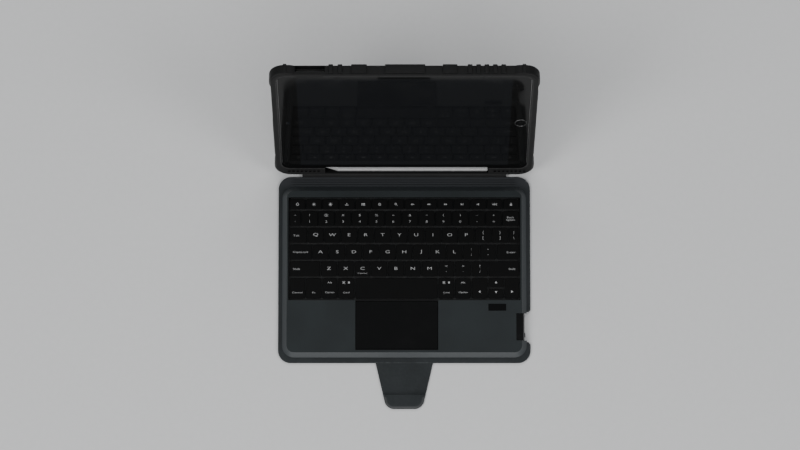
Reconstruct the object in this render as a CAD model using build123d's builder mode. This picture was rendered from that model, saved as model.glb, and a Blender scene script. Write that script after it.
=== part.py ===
from build123d import *

import os
from math import acos, atan, cos, degrees, radians, sin

# Tablet keyboard case: a keyboard deck with a front strap, a protective shell that stands
# behind it on a kickstand, and the tablet and stylus that the shell holds.
# X runs to the right, Y to the back, Z up. The origin is the centre of the deck's bottom face.
# All sizes are in millimetres and degrees.

os.makedirs("parts", exist_ok=True)

# ---------------------------------------------------------------- deck sizes
DECK_WIDTH = 259.0
DECK_DEPTH = 192.0
DECK_CORNER = 13.0
COVER_THICKNESS = 2.0
PANEL_HEIGHT = 5.6
PANEL_SIDE_MARGIN = 3.9
PANEL_FRONT_MARGIN = 5.8
PANEL_REAR_MARGIN = 10.0
PANEL_BEVEL = 5.0
PANEL_CORNER = 12.5
PANEL_ROOF = 1.6

WELL_WIDTH = 238.0
WELL_DEPTH = 105.6
WELL_REAR_MARGIN = 6.9
WELL_CORNER = 2.0
LAYER_GAP = 0.3

SUPPORT_THICKNESS = 0.5
MEMBRANE_THICKNESS = 0.3
DOME_SHEET_THICKNESS = 0.3
DOME_RADIUS = 2.2
DOME_HEIGHT = 0.9
KEY_PLATE_THICKNESS = 0.6
SCISSOR_THICKNESS = 0.5
SCISSOR_SIZE = 8.6
SCISSOR_OPENING = 5.6

KEY_TRAVEL = 0.9
KEY_CLEARANCE = 0.2
KEY_HEIGHT = 1.7
KEY_WALL = 1.1
KEY_ROOF = 0.9
KEY_GAP = 1.5
KEY_MARGIN = 0.8
KEY_CORNER = 1.2

TRACKPAD_WIDTH = 84.0
TRACKPAD_DEPTH = 49.2
TRACKPAD_CENTRE_X = -7.7
TRACKPAD_BAR = 1.0
TRACKPAD_THICKNESS = 1.0
TRACKPAD_SINK = 0.3
TRACKPAD_CLEARANCE = 0.3
TRACKPAD_TRAVEL = 0.3
TRACKPAD_BOARD = 1.0
SWITCH_SIZE = 6.0

BAY_WALL = 3.8
BATTERY_THICKNESS = 3.4
BOARD_THICKNESS = 1.2
SCREW_RADIUS = 0.8
SCREW_HEAD_RADIUS = 1.5
SCREW_HEAD = 0.7
BOSS_RADIUS = 2.0
LED_SIZE = 1.6
LED_COUNT = 4

WINDOW_WIDTH = 18.3
WINDOW_DEPTH = 7.2
WINDOW_CENTRE_X = 95.3
WINDOW_DROP = 7.4

PORT_LENGTH = 27.8
PORT_CENTRE_Y = -59.0
PORT_WIDTH = 8.2
PORT_OUTER_X = 123.0
PORT_SINK = 0.2
NOTCH_LENGTH = 31.0
NOTCH_FLARE = 4.5
SOCKET_WIDTH = 8.94
SOCKET_HEIGHT = 3.26
SOCKET_WALL = 0.3
SOCKET_DEPTH = 7.2
SLIDER_LENGTH = 4.5
SLIDER_HEIGHT = 2.2
SLIDER_TRAVEL = 3.0
SLIDER_PROUD = 1.0

# ---------------------------------------------------------------- lid sizes
LID_WIDTH = 263.0
LID_LENGTH = 187.0
LID_THICKNESS = 12.0
LID_CORNER = 15.0
LID_TILT = 65.0
LID_GAP = 1.6
LID_LIFT = 7.0
LID_CLOSED_GAP = 0.5
HINGE_SET_IN = 0.5

TABLET_WIDTH = 250.0
TABLET_LENGTH = 168.6
TABLET_THICKNESS = 7.5
TABLET_CORNER = 9.0
TABLET_SINK = 0.8
TABLET_CLEARANCE = 0.3
TABLET_WALL = 1.6
GLASS_THICKNESS = 1.0
GLASS_INSET = 0.4
HOME_RADIUS = 5.5
HOME_INSET = 8.6
HOME_TRAVEL = 0.3
LINER_THICKNESS = 0.5
BAND_WIDTH = 13.1

CAMERA_RADIUS = 4.0
CAMERA_OPENING = 7.5
CAMERA_INSET = 12.5
VOLUME_LENGTH = 10.0
VOLUME_GAP = 5.3
VOLUME_CENTRE_X = -92.5
VOLUME_WIDTH = 2.2
VOLUME_DEPTH = 1.0
VOLUME_PROUD = 0.6
VOLUME_CHANNEL = 0.9
CUTOUT_LENGTH = 26.0
CUTOUT_LIP = 3.4
CUTOUT_REAR_LIP = 1.6

STYLUS_RADIUS = 4.45
STYLUS_LEFT_X = -81.0
STYLUS_RIGHT_X = 86.0
STYLUS_TAPER = 13.0
STYLUS_NIB = 3.6
STYLUS_NIB_RADIUS = 1.5
STYLUS_SINK = 0.0
STYLUS_CLEARANCE = 0.3

GUARD_SIZE = 34.0
GUARD_PROUD = 1.3
GRIP_PROUD = 1.0
GRIP_FRONT_INSET = 1.5
GRIP_BACK_INSET = 0.5
KNUCKLE_X = 117.0
KNUCKLE_WIDTH = 3.2
KNUCKLE_PROUD = 0.4
RIB_WIDTH = 4.2
VENT_WIDTH = 2.8
VENT_PITCH = 4.3
VENT_COUNT = 8
VENT_DEPTH = 1.2

STAND_WIDTH = 150.0
STAND_HINGE_HEIGHT = 97.0
STAND_LEG = 92.0
STAND_THICKNESS = 1.6
STAND_FOOT = 3.0
STAND_CLEARANCE = 0.3
STAND_FINGER_GAP = 2.4
PIN_RADIUS = 0.5
PIN_RUNNING_GAP = 0.05
PIN_ANCHOR = 6.0

RAIL_LENGTH = 210.0
RAIL_THICKNESS = 2.0
RAIL_WIDTH = 9.0
RAIL_FRONT_INSET = 1.5
MAGNET_LENGTH = 18.0
MAGNET_WIDTH = 6.0
MAGNET_THICKNESS = 1.2
MAGNET_COUNT = 5
MAGNET_PITCH = 40.0
GUSSET_THICKNESS = 0.9
GUSSET_HEIGHT = 5.0
GUSSET_GAP = 0.1

# ---------------------------------------------------------------- strap sizes
STRAP_WIDTH = 58.5
STRAP_TIP_WIDTH = 42.0
STRAP_REACH = 47.0
STRAP_THICKNESS = 1.5
STRAP_CORNER = 8.0
STRAP_HINGE_GAP = 0.9
PAD_DEPTH = 14.6
PAD_HEIGHT = 1.5
PAD_INSET = 0.9
PAD_MAGNET_LENGTH = 24.0
PAD_MAGNET_WIDTH = 6.0
PAD_MAGNET_THICKNESS = 0.8
FOLD_GAP = 0.85

# ---------------------------------------------------------------- deck levels and places
deck_rear = DECK_DEPTH / 2
deck_front = -DECK_DEPTH / 2
panel_top = COVER_THICKNESS + PANEL_HEIGHT
panel_base_rear = deck_rear - PANEL_REAR_MARGIN
panel_base_front = deck_front + PANEL_FRONT_MARGIN
panel_base_half = DECK_WIDTH / 2 - PANEL_SIDE_MARGIN
panel_centre_y = (panel_base_rear + panel_base_front) / 2
panel_base_depth = panel_base_rear - panel_base_front
well_rear = panel_base_rear - PANEL_BEVEL - WELL_REAR_MARGIN
well_front = well_rear - WELL_DEPTH
well_centre_y = (well_rear + well_front) / 2
trackpad_rear = well_front - TRACKPAD_BAR
trackpad_front = trackpad_rear - TRACKPAD_DEPTH - 2 * TRACKPAD_CLEARANCE
trackpad_centre_y = (trackpad_rear + trackpad_front) / 2
trackpad_left = TRACKPAD_CENTRE_X - TRACKPAD_WIDTH / 2 - TRACKPAD_CLEARANCE
trackpad_right = TRACKPAD_CENTRE_X + TRACKPAD_WIDTH / 2 + TRACKPAD_CLEARANCE

support_top = COVER_THICKNESS + SUPPORT_THICKNESS
membrane_top = support_top + MEMBRANE_THICKNESS
dome_sheet_top = membrane_top + DOME_SHEET_THICKNESS
key_plate_top = dome_sheet_top + KEY_PLATE_THICKNESS
scissor_top = key_plate_top + SCISSOR_THICKNESS
key_bottom = scissor_top + KEY_TRAVEL + KEY_CLEARANCE
key_top = key_bottom + KEY_HEIGHT
bay_roof = panel_top - PANEL_ROOF

port_inner_x = PORT_OUTER_X - PORT_WIDTH
port_top = panel_top - PORT_SINK
bay_right_end = port_inner_x - BAY_WALL
bay_left_end = -panel_base_half + PANEL_BEVEL + BAY_WALL
bay_front = panel_base_front + PANEL_BEVEL + BAY_WALL
bay_rear = well_front - BAY_WALL

# ---------------------------------------------------------------- lid frame
# The lid's own plane has its origin at the front bottom edge of the shell, x along the deck,
# y up the shell and z out of the screen.
tilt = radians(LID_TILT)
lid_origin = Vector(0, deck_rear + LID_GAP, LID_LIFT)
lid = Plane(origin=lid_origin, x_dir=(1, 0, 0), z_dir=(0, -sin(tilt), cos(tilt)))
tablet_bottom = BAND_WIDTH + TABLET_CLEARANCE
tablet_top = tablet_bottom + TABLET_LENGTH
tablet_centre = (tablet_bottom + tablet_top) / 2
pocket_top = tablet_top + TABLET_CLEARANCE
glass_back = -TABLET_SINK - GLASS_THICKNESS
tablet_back = -TABLET_SINK - TABLET_THICKNESS
plate_front = tablet_back - LINER_THICKNESS

stylus_height = tablet_bottom - STYLUS_CLEARANCE - STYLUS_RADIUS
stylus_level = -STYLUS_RADIUS - STYLUS_SINK
stylus_floor = stylus_level - STYLUS_RADIUS - STYLUS_CLEARANCE

# ---------------------------------------------------------------- kickstand frame
stand_hinge_level = -LID_THICKNESS + STAND_THICKNESS / 2
stand_hinge = lid.from_local_coords(Vector(0, STAND_HINGE_HEIGHT, stand_hinge_level))
leg_angle = atan(STAND_THICKNESS / 2 / STAND_LEG)
leg_diagonal = (STAND_LEG**2 + (STAND_THICKNESS / 2) ** 2) ** 0.5
stand_from_vertical = degrees(acos(stand_hinge.Z / leg_diagonal) + leg_angle)
stand_open = stand_from_vertical + 90 - LID_TILT
stand_turn = radians(LID_TILT + 90 + stand_open)
stand = Plane(
    origin=stand_hinge,
    x_dir=(1, 0, 0),
    z_dir=(0, cos(stand_turn), sin(stand_turn)),
)

# ---------------------------------------------------------------- strap joints
strap_axis_y = deck_front - STRAP_HINGE_GAP
strap_axis_z = STRAP_THICKNESS / 2
closed_back = panel_top + LID_CLOSED_GAP + LID_THICKNESS
tab_axis_y = strap_axis_y - (
    closed_back + PAD_HEIGHT + STRAP_THICKNESS / 2 + FOLD_GAP - strap_axis_z
)
strap_tip = deck_front - STRAP_REACH


def strap_half_width(y):
    """Half the strap's width at a place along it, narrowing from the deck to the tip."""
    share = (deck_front - y) / STRAP_REACH
    return (STRAP_WIDTH + (STRAP_TIP_WIDTH - STRAP_WIDTH) * share) / 2


# ---------------------------------------------------------------- key layout
# Each row has a depth and a list of keys, as the node that the key belongs to and its width.
# Widths and depths are shares of the well, so every row fills it from side to side.
key_rows = [
    (12.4, [("function_keys", 1.0)] * 14),
    (17.3, [("number_keys", 0.71)] + [("number_keys", 1.0)] * 12 + [("backspace_key", 1.03)]),
    (
        17.3,
        [("tab_key", 1.08)] + [("upper_letter_keys", 1.0)] * 12 + [("upper_letter_keys", 0.66)],
    ),
    (
        17.3,
        [("caps_lock_key", 1.37)] + [("home_letter_keys", 1.0)] * 11 + [("enter_key", 1.37)],
    ),
    (
        17.3,
        [("left_shift_key", 1.88)]
        + [("lower_letter_keys", 1.0)] * 10
        + [("right_shift_key", 1.86)],
    ),
    (
        22.4,
        [("modifier_keys", 0.98), ("modifier_keys", 0.98), ("modifier_keys", 0.94)]
        + [("modifier_keys", 1.03), ("space_bar", 4.95)]
        + [("modifier_keys", 1.0), ("modifier_keys", 0.99), ("arrow_left_key", 0.99)]
        + [("arrow_up_and_down", 0.96), ("arrow_right_key", 0.92)],
    ),
]


def lay_out_keys():
    """Every key as its node's name, centre x, centre y, width and depth."""
    keys = []
    field_width = WELL_WIDTH - 2 * KEY_MARGIN
    field_depth = WELL_DEPTH - 2 * KEY_MARGIN
    depth_share = field_depth / sum(depth for depth, _ in key_rows)
    rear = well_rear - KEY_MARGIN
    for depth, row in key_rows:
        row_depth = depth * depth_share
        width_share = field_width / sum(width for _, width in row)
        left = -field_width / 2
        for name, width in row:
            key_width = width * width_share
            x = left + key_width / 2
            y = rear - row_depth / 2
            if name == "arrow_up_and_down":
                half = row_depth / 2
                keys.append(("arrow_up_key", x, y + half / 2, key_width, half))
                keys.append(("arrow_down_key", x, y - half / 2, key_width, half))
            else:
                keys.append((name, x, y, key_width, row_depth))
            left += key_width
        rear -= row_depth
    return keys


keys = lay_out_keys()
key_places = [(x, y) for _, x, y, _, _ in keys]
pieces = []


def finish(piece, name):
    """Label a finished piece and keep it for export."""
    piece.part.label = name
    pieces.append(piece.part)


# ================================================================ deck
with BuildPart() as base_cover:
    with BuildSketch(Plane.XY):
        RectangleRounded(DECK_WIDTH, DECK_DEPTH, DECK_CORNER)
    extrude(amount=COVER_THICKNESS)
    fillet(base_cover.faces().sort_by(Axis.Z)[-1].edges(), radius=0.9)
    fillet(base_cover.faces().sort_by(Axis.Z)[0].edges(), radius=0.5)
    with BuildSketch(Plane.XY):
        with BuildLine():
            Polyline(
                (PORT_OUTER_X + 0.3, PORT_CENTRE_Y - NOTCH_LENGTH / 2),
                (PORT_OUTER_X + 0.3, PORT_CENTRE_Y + NOTCH_LENGTH / 2),
                (DECK_WIDTH / 2 - 2, PORT_CENTRE_Y + NOTCH_LENGTH / 2),
                (DECK_WIDTH / 2 + 2, PORT_CENTRE_Y + NOTCH_LENGTH / 2 + NOTCH_FLARE),
                (DECK_WIDTH / 2 + 2, PORT_CENTRE_Y - NOTCH_LENGTH / 2 - NOTCH_FLARE),
                (DECK_WIDTH / 2 - 2, PORT_CENTRE_Y - NOTCH_LENGTH / 2),
                close=True,
            )
        make_face()
    extrude(amount=COVER_THICKNESS, mode=Mode.SUBTRACT)
finish(base_cover, "base_cover")

with BuildPart() as deck_panel:
    with BuildSketch(Plane.XY.offset(COVER_THICKNESS)):
        with Locations((0, panel_centre_y)):
            RectangleRounded(2 * panel_base_half, panel_base_depth, PANEL_CORNER)
    with BuildSketch(Plane.XY.offset(panel_top)):
        with Locations((0, panel_centre_y)):
            RectangleRounded(
                2 * (panel_base_half - PANEL_BEVEL),
                panel_base_depth - 2 * PANEL_BEVEL,
                PANEL_CORNER - PANEL_BEVEL,
            )
    loft(ruled=True)
    # key well and trackpad opening, right through
    with BuildSketch(Plane.XY.offset(COVER_THICKNESS)):
        with Locations((0, well_centre_y)):
            RectangleRounded(WELL_WIDTH, WELL_DEPTH, WELL_CORNER)
        with Locations((TRACKPAD_CENTRE_X, trackpad_centre_y)):
            Rectangle(trackpad_right - trackpad_left, trackpad_rear - trackpad_front)
        with Locations((WINDOW_CENTRE_X, well_front - WINDOW_DROP)):
            Rectangle(WINDOW_WIDTH, WINDOW_DEPTH)
    extrude(amount=PANEL_HEIGHT, mode=Mode.SUBTRACT)
    # bays for the battery and the main board, open below
    with BuildSketch(Plane.XY.offset(COVER_THICKNESS)):
        for left, right in (
            (bay_left_end, trackpad_left - BAY_WALL),
            (trackpad_right + BAY_WALL, bay_right_end),
        ):
            with Locations(((left + right) / 2, (bay_front + bay_rear) / 2)):
                Rectangle(right - left, bay_rear - bay_front)
    extrude(amount=bay_roof - COVER_THICKNESS, mode=Mode.SUBTRACT)
    # side opening for the port block
    with BuildSketch(Plane.XY.offset(COVER_THICKNESS)):
        with Locations((port_inner_x, PORT_CENTRE_Y)):
            Rectangle(30, PORT_LENGTH, align=(Align.MIN, Align.CENTER))
    extrude(amount=PANEL_HEIGHT, mode=Mode.SUBTRACT)

board_left = trackpad_right + BAY_WALL + 2
board_right = bay_right_end - 2
board_front = bay_front + 2
board_rear = bay_rear - 0.5
board_bottom = COVER_THICKNESS + SCREW_HEAD + 0.3
board_top = board_bottom + BOARD_THICKNESS
screw_places = [
    (x, y)
    for x in (board_left + 4, board_right - 4)
    for y in (board_front + 4, board_rear - 12)
]

with BuildPart(mode=Mode.PRIVATE) as bosses:
    with BuildSketch(Plane.XY.offset(board_top)):
        with Locations(*screw_places):
            Circle(BOSS_RADIUS)
            Circle(SCREW_RADIUS + 0.05, mode=Mode.SUBTRACT)
    extrude(amount=bay_roof - board_top)

with deck_panel:
    add(bosses.part)
finish(deck_panel, "deck_panel")

layer_width = WELL_WIDTH - 2 * LAYER_GAP
layer_depth = WELL_DEPTH - 2 * LAYER_GAP
layer_plane = Plane.XY.offset(COVER_THICKNESS)

with BuildPart() as support_plate:
    with BuildSketch(layer_plane):
        with Locations((0, well_centre_y)):
            RectangleRounded(layer_width, layer_depth, WELL_CORNER)
    extrude(amount=SUPPORT_THICKNESS)
finish(support_plate, "support_plate")

with BuildPart() as membrane_sheet:
    with BuildSketch(Plane.XY.offset(support_top)):
        with Locations((0, well_centre_y)):
            RectangleRounded(layer_width, layer_depth, WELL_CORNER)
    extrude(amount=MEMBRANE_THICKNESS)
finish(membrane_sheet, "membrane_sheet")

with BuildPart() as dome_sheet:
    with BuildSketch(Plane.XY.offset(membrane_top)):
        with Locations((0, well_centre_y)):
            RectangleRounded(layer_width, layer_depth, WELL_CORNER)
    extrude(amount=DOME_SHEET_THICKNESS)
    with BuildSketch(Plane.XY.offset(dome_sheet_top)):
        with Locations(*key_places):
            Circle(DOME_RADIUS)
    extrude(amount=DOME_HEIGHT)
finish(dome_sheet, "dome_sheet")

with BuildPart() as key_plate:
    with BuildSketch(Plane.XY.offset(dome_sheet_top)):
        with Locations((0, well_centre_y)):
            RectangleRounded(layer_width, layer_depth, WELL_CORNER)
        with Locations(*key_places):
            Circle(DOME_RADIUS + LAYER_GAP, mode=Mode.SUBTRACT)
    extrude(amount=KEY_PLATE_THICKNESS)
finish(key_plate, "key_plate")

with BuildPart() as scissor_frames:
    with BuildSketch(Plane.XY.offset(key_plate_top)):
        with Locations(*key_places):
            Rectangle(SCISSOR_SIZE, SCISSOR_SIZE - 1)
            Rectangle(SCISSOR_OPENING, SCISSOR_OPENING - 0.6, mode=Mode.SUBTRACT)
    extrude(amount=SCISSOR_THICKNESS)
finish(scissor_frames, "scissor_frames")

# ---------------------------------------------------------------- keys
for node in dict.fromkeys(name for name, *_ in keys):
    own = [key for key in keys if key[0] == node]
    with BuildPart() as keycaps:
        with BuildSketch(Plane.XY.offset(key_bottom)):
            for _, x, y, width, depth in own:
                with Locations((x, y)):
                    RectangleRounded(width - KEY_GAP, depth - KEY_GAP, KEY_CORNER)
        extrude(amount=KEY_HEIGHT)
        chamfer(keycaps.faces().filter_by(Plane.XY).group_by(Axis.Z)[-1].edges(), length=0.3)
        with BuildSketch(Plane.XY.offset(key_bottom)):
            for _, x, y, width, depth in own:
                with Locations((x, y)):
                    Rectangle(
                        width - KEY_GAP - 2 * KEY_WALL,
                        depth - KEY_GAP - 2 * KEY_WALL,
                    )
        extrude(amount=KEY_HEIGHT - KEY_ROOF, mode=Mode.SUBTRACT)
    finish(keycaps, node)

# ---------------------------------------------------------------- trackpad
trackpad_top = panel_top - TRACKPAD_SINK
trackpad_bottom = trackpad_top - TRACKPAD_THICKNESS
trackpad_place = (TRACKPAD_CENTRE_X, trackpad_centre_y)
trackpad_board_bottom = trackpad_bottom - TRACKPAD_BOARD

with BuildPart() as trackpad_plate:
    with BuildSketch(Plane.XY.offset(trackpad_bottom)):
        with Locations(trackpad_place):
            RectangleRounded(TRACKPAD_WIDTH, TRACKPAD_DEPTH, 0.8)
    extrude(amount=TRACKPAD_THICKNESS)
    chamfer(trackpad_plate.faces().sort_by(Axis.Z)[-1].edges(), length=0.2)
finish(trackpad_plate, "trackpad_plate")

with BuildPart() as trackpad_board:
    with BuildSketch(Plane.XY.offset(trackpad_board_bottom)):
        with Locations(trackpad_place):
            Rectangle(TRACKPAD_WIDTH - 3, TRACKPAD_DEPTH - 3)
    extrude(amount=TRACKPAD_BOARD)
finish(trackpad_board, "trackpad_board")

with BuildPart() as trackpad_bracket:
    with BuildSketch(layer_plane):
        with Locations(trackpad_place):
            Rectangle(TRACKPAD_WIDTH - 1, TRACKPAD_DEPTH - 1)
    extrude(amount=SUPPORT_THICKNESS)
finish(trackpad_bracket, "trackpad_bracket")

with BuildPart() as trackpad_switch:
    with BuildSketch(Plane.XY.offset(support_top)):
        with Locations((TRACKPAD_CENTRE_X, trackpad_front + 12)):
            Rectangle(SWITCH_SIZE, SWITCH_SIZE)
    extrude(amount=trackpad_board_bottom - TRACKPAD_TRAVEL - 0.7 - support_top)
    with BuildSketch(Plane.XY.offset(trackpad_board_bottom - TRACKPAD_TRAVEL - 0.7)):
        with Locations((TRACKPAD_CENTRE_X, trackpad_front + 12)):
            Circle(SWITCH_SIZE / 4)
    extrude(amount=0.5)
finish(trackpad_switch, "trackpad_switch")

# ---------------------------------------------------------------- electronics
with BuildPart() as battery:
    with BuildSketch(layer_plane):
        left = bay_left_end + 2
        right = trackpad_left - BAY_WALL - 2
        with Locations(((left + right) / 2, (bay_front + bay_rear) / 2)):
            RectangleRounded(right - left, bay_rear - bay_front - 4, 2)
    extrude(amount=BATTERY_THICKNESS)
    fillet(battery.faces().sort_by(Axis.Z)[-1].edges(), radius=0.8)
finish(battery, "battery")

with BuildPart() as main_board:
    with BuildSketch(Plane.XY.offset(board_bottom)):
        with Locations(((board_left + board_right) / 2, (board_front + board_rear) / 2)):
            Rectangle(board_right - board_left, board_rear - board_front)
        with Locations(*screw_places):
            Circle(SCREW_RADIUS + 0.1, mode=Mode.SUBTRACT)
    extrude(amount=BOARD_THICKNESS)
finish(main_board, "main_board")

with BuildPart() as board_screws:
    with BuildSketch(Plane.XY.offset(board_bottom - SCREW_HEAD)):
        with Locations(*screw_places):
            Circle(SCREW_HEAD_RADIUS)
    extrude(amount=SCREW_HEAD)
    with BuildSketch(Plane.XY.offset(board_bottom)):
        with Locations(*screw_places):
            Circle(SCREW_RADIUS)
    extrude(amount=bay_roof - board_bottom - 0.2)
finish(board_screws, "board_screws")

with BuildPart() as status_leds:
    with BuildSketch(Plane.XY.offset(board_top)):
        with Locations((WINDOW_CENTRE_X, well_front - WINDOW_DROP)):
            with GridLocations(4, 1, LED_COUNT, 1):
                Rectangle(LED_SIZE, LED_SIZE / 2)
    extrude(amount=0.7)
finish(status_leds, "status_leds")

with BuildPart() as indicator_window:
    with BuildSketch(Plane.XY.offset(bay_roof)):
        with Locations((WINDOW_CENTRE_X, well_front - WINDOW_DROP)):
            Rectangle(WINDOW_WIDTH - 0.1, WINDOW_DEPTH - 0.1)
    extrude(amount=PANEL_ROOF - 0.1)
finish(indicator_window, "indicator_window")

# ---------------------------------------------------------------- ports
port_level = (COVER_THICKNESS + port_top) / 2
socket_y = PORT_CENTRE_Y + PORT_LENGTH / 4
slider_y = PORT_CENTRE_Y - PORT_LENGTH / 4
side = Plane(origin=(PORT_OUTER_X, 0, port_level), x_dir=(0, 1, 0), z_dir=(1, 0, 0))

with BuildPart() as port_block:
    with BuildSketch(layer_plane):
        with Locations((port_inner_x + 0.2, PORT_CENTRE_Y)):
            Rectangle(PORT_WIDTH - 0.2, PORT_LENGTH - 0.5, align=(Align.MIN, Align.CENTER))
    extrude(amount=port_top - COVER_THICKNESS)
    chamfer(port_block.faces().sort_by(Axis.Z)[-1].edges().sort_by(Axis.X)[-1], length=0.5)
    with BuildSketch(side):
        with Locations((socket_y, 0)):
            SlotOverall(SOCKET_WIDTH, SOCKET_HEIGHT)
    extrude(amount=-SOCKET_DEPTH, mode=Mode.SUBTRACT)
    with BuildSketch(side):
        with Locations((slider_y, 0)):
            Rectangle(SLIDER_LENGTH + SLIDER_TRAVEL + 0.6, SLIDER_HEIGHT + 0.4)
    extrude(amount=-2.5, mode=Mode.SUBTRACT)
finish(port_block, "port_block")

with BuildPart() as charge_socket:
    with BuildSketch(side):
        with Locations((socket_y, 0)):
            SlotOverall(SOCKET_WIDTH, SOCKET_HEIGHT)
    extrude(amount=-SOCKET_DEPTH)
    with BuildSketch(side):
        with Locations((socket_y, 0)):
            SlotOverall(SOCKET_WIDTH - 2 * SOCKET_WALL, SOCKET_HEIGHT - 2 * SOCKET_WALL)
    extrude(amount=-SOCKET_DEPTH + 1, mode=Mode.SUBTRACT)
    with BuildSketch(side.offset(-SOCKET_DEPTH + 1)):
        with Locations((socket_y, 0)):
            Rectangle(SOCKET_WIDTH - 2.3, 0.7)
    extrude(amount=SOCKET_DEPTH - 2)
finish(charge_socket, "charge_socket")

with BuildPart() as power_slider:
    with BuildSketch(side.offset(-2.2)):
        with Locations((slider_y - SLIDER_TRAVEL / 2, 0)):
            Rectangle(SLIDER_LENGTH, SLIDER_HEIGHT)
    extrude(amount=2.2 + SLIDER_PROUD)
    chamfer(power_slider.faces().sort_by(Axis.X)[-1].edges(), length=0.3)
finish(power_slider, "power_slider")

# ---------------------------------------------------------------- hinge gusset
with BuildPart() as hinge_gusset:
    with BuildSketch(Plane.XY.offset(0.2)):
        with Locations((0, deck_rear + GUSSET_GAP)):
            Rectangle(RAIL_LENGTH, GUSSET_THICKNESS, align=(Align.CENTER, Align.MIN))
    extrude(amount=GUSSET_HEIGHT)
finish(hinge_gusset, "hinge_gusset")

# ================================================================ lid
out = Axis(lid_origin, lid.z_dir)
recess_left = STAND_WIDTH / 2 + STAND_CLEARANCE
recess_top = STAND_HINGE_HEIGHT + STAND_THICKNESS / 2 + STAND_CLEARANCE
recess_bottom = STAND_HINGE_HEIGHT - STAND_LEG - STAND_FINGER_GAP
recess_floor = -LID_THICKNESS + STAND_THICKNESS + STAND_CLEARANCE
cutout_top = LID_LENGTH + 4

with BuildPart() as bumper:
    with BuildSketch(lid):
        with Locations((0, LID_LENGTH / 2)):
            RectangleRounded(LID_WIDTH, LID_LENGTH, LID_CORNER)
    extrude(amount=-LID_THICKNESS)
    fillet(bumper.faces().sort_by(out)[0].edges(), radius=3.0)
    fillet(bumper.faces().sort_by(out)[-1].edges(), radius=1.5)
    # thicker corner guards that stand proud of the sides
    for side_sign in (-1, 1):
        for height in (GUARD_SIZE / 2, LID_LENGTH - GUARD_SIZE / 2 + GUARD_PROUD):
            with BuildPart(mode=Mode.PRIVATE) as guard:
                with BuildSketch(lid.offset(-0.6)):
                    with Locations(
                        (side_sign * (LID_WIDTH / 2 + GUARD_PROUD - GUARD_SIZE / 2), height)
                    ):
                        RectangleRounded(GUARD_SIZE, GUARD_SIZE, LID_CORNER)
                extrude(amount=-LID_THICKNESS + 1.2)
                fillet(guard.faces().sort_by(out)[0].edges(), radius=2.0)
                fillet(guard.faces().sort_by(out)[-1].edges(), radius=1.5)
            add(guard.part)
    # grip pads and ribs along the top edge
    with BuildSketch(lid.offset(-GRIP_FRONT_INSET)):
        for centre, width in ((0.5, 39), (-44.5, 15), (44.5, 14)):
            with Locations((centre, LID_LENGTH - 1)):
                Rectangle(width, 1 + GRIP_PROUD, align=(Align.CENTER, Align.MIN))
        for centre in (-72, -63, 64, 72.2, 80.4, 88.6, 96.8):
            with Locations((centre, LID_LENGTH - 1)):
                Rectangle(RIB_WIDTH, 1 + GRIP_PROUD, align=(Align.CENTER, Align.MIN))
        for centre in (-KNUCKLE_X, KNUCKLE_X):
            with Locations((centre, LID_LENGTH - 1)):
                Rectangle(
                    KNUCKLE_WIDTH,
                    1 + GUARD_PROUD + KNUCKLE_PROUD,
                    align=(Align.CENTER, Align.MIN),
                )
    extrude(amount=-LID_THICKNESS + GRIP_FRONT_INSET + GRIP_BACK_INSET)
    # tablet pocket, right through
    with BuildSketch(lid):
        with Locations((0, (BAND_WIDTH + pocket_top) / 2)):
            RectangleRounded(
                TABLET_WIDTH + 2 * TABLET_CLEARANCE, pocket_top - BAND_WIDTH, TABLET_CORNER
            )
    extrude(amount=-LID_THICKNESS, mode=Mode.SUBTRACT)
    # stylus groove in the bottom band, open to the front and to the tablet's edge
    with BuildSketch(lid):
        with Locations((STYLUS_LEFT_X - STYLUS_CLEARANCE, BAND_WIDTH + 1)):
            Rectangle(
                STYLUS_RIGHT_X - STYLUS_LEFT_X + 2 * STYLUS_CLEARANCE,
                BAND_WIDTH + 1 - (stylus_height - STYLUS_RADIUS - STYLUS_CLEARANCE),
                align=(Align.MIN, Align.MAX),
            )
    extrude(amount=stylus_floor, mode=Mode.SUBTRACT)
    # row of shallow vents on each side of the groove
    with BuildSketch(lid):
        for start in (STYLUS_LEFT_X - 7 - (VENT_COUNT - 1) * VENT_PITCH, STYLUS_RIGHT_X + 7):
            for index in range(VENT_COUNT):
                with Locations((start + index * VENT_PITCH, stylus_height)):
                    RectangleRounded(VENT_WIDTH, 5.5, 0.8)
    extrude(amount=-VENT_DEPTH, mode=Mode.SUBTRACT)
    # side window over the volume keys, with sloping ends
    with BuildSketch(lid.offset(-CUTOUT_LIP)):
        with BuildLine():
            Polyline(
                (VOLUME_CENTRE_X - CUTOUT_LENGTH / 2, pocket_top - 1),
                (VOLUME_CENTRE_X + CUTOUT_LENGTH / 2, pocket_top - 1),
                (VOLUME_CENTRE_X + CUTOUT_LENGTH / 2 + 3, cutout_top),
                (VOLUME_CENTRE_X - CUTOUT_LENGTH / 2 - 3, cutout_top),
                close=True,
            )
        make_face()
    extrude(amount=-LID_THICKNESS + CUTOUT_LIP + CUTOUT_REAR_LIP, mode=Mode.SUBTRACT)
    # channel in the front lip, so that the volume keys clear it as the tablet lifts out
    with BuildSketch(lid):
        with Locations((VOLUME_CENTRE_X, pocket_top - 1)):
            Rectangle(
                2 * VOLUME_LENGTH + VOLUME_GAP + 1,
                1 + VOLUME_CHANNEL,
                align=(Align.CENTER, Align.MIN),
            )
    extrude(amount=-CUTOUT_LIP - 0.5, mode=Mode.SUBTRACT)
    # recess in the back for the folded kickstand's foot
    with BuildSketch(lid.offset(recess_floor)):
        with Locations((0, recess_bottom)):
            Rectangle(
                2 * recess_left, BAND_WIDTH + 1 - recess_bottom, align=(Align.CENTER, Align.MIN)
            )
    extrude(amount=-LID_THICKNESS - recess_floor, mode=Mode.SUBTRACT)
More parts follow.
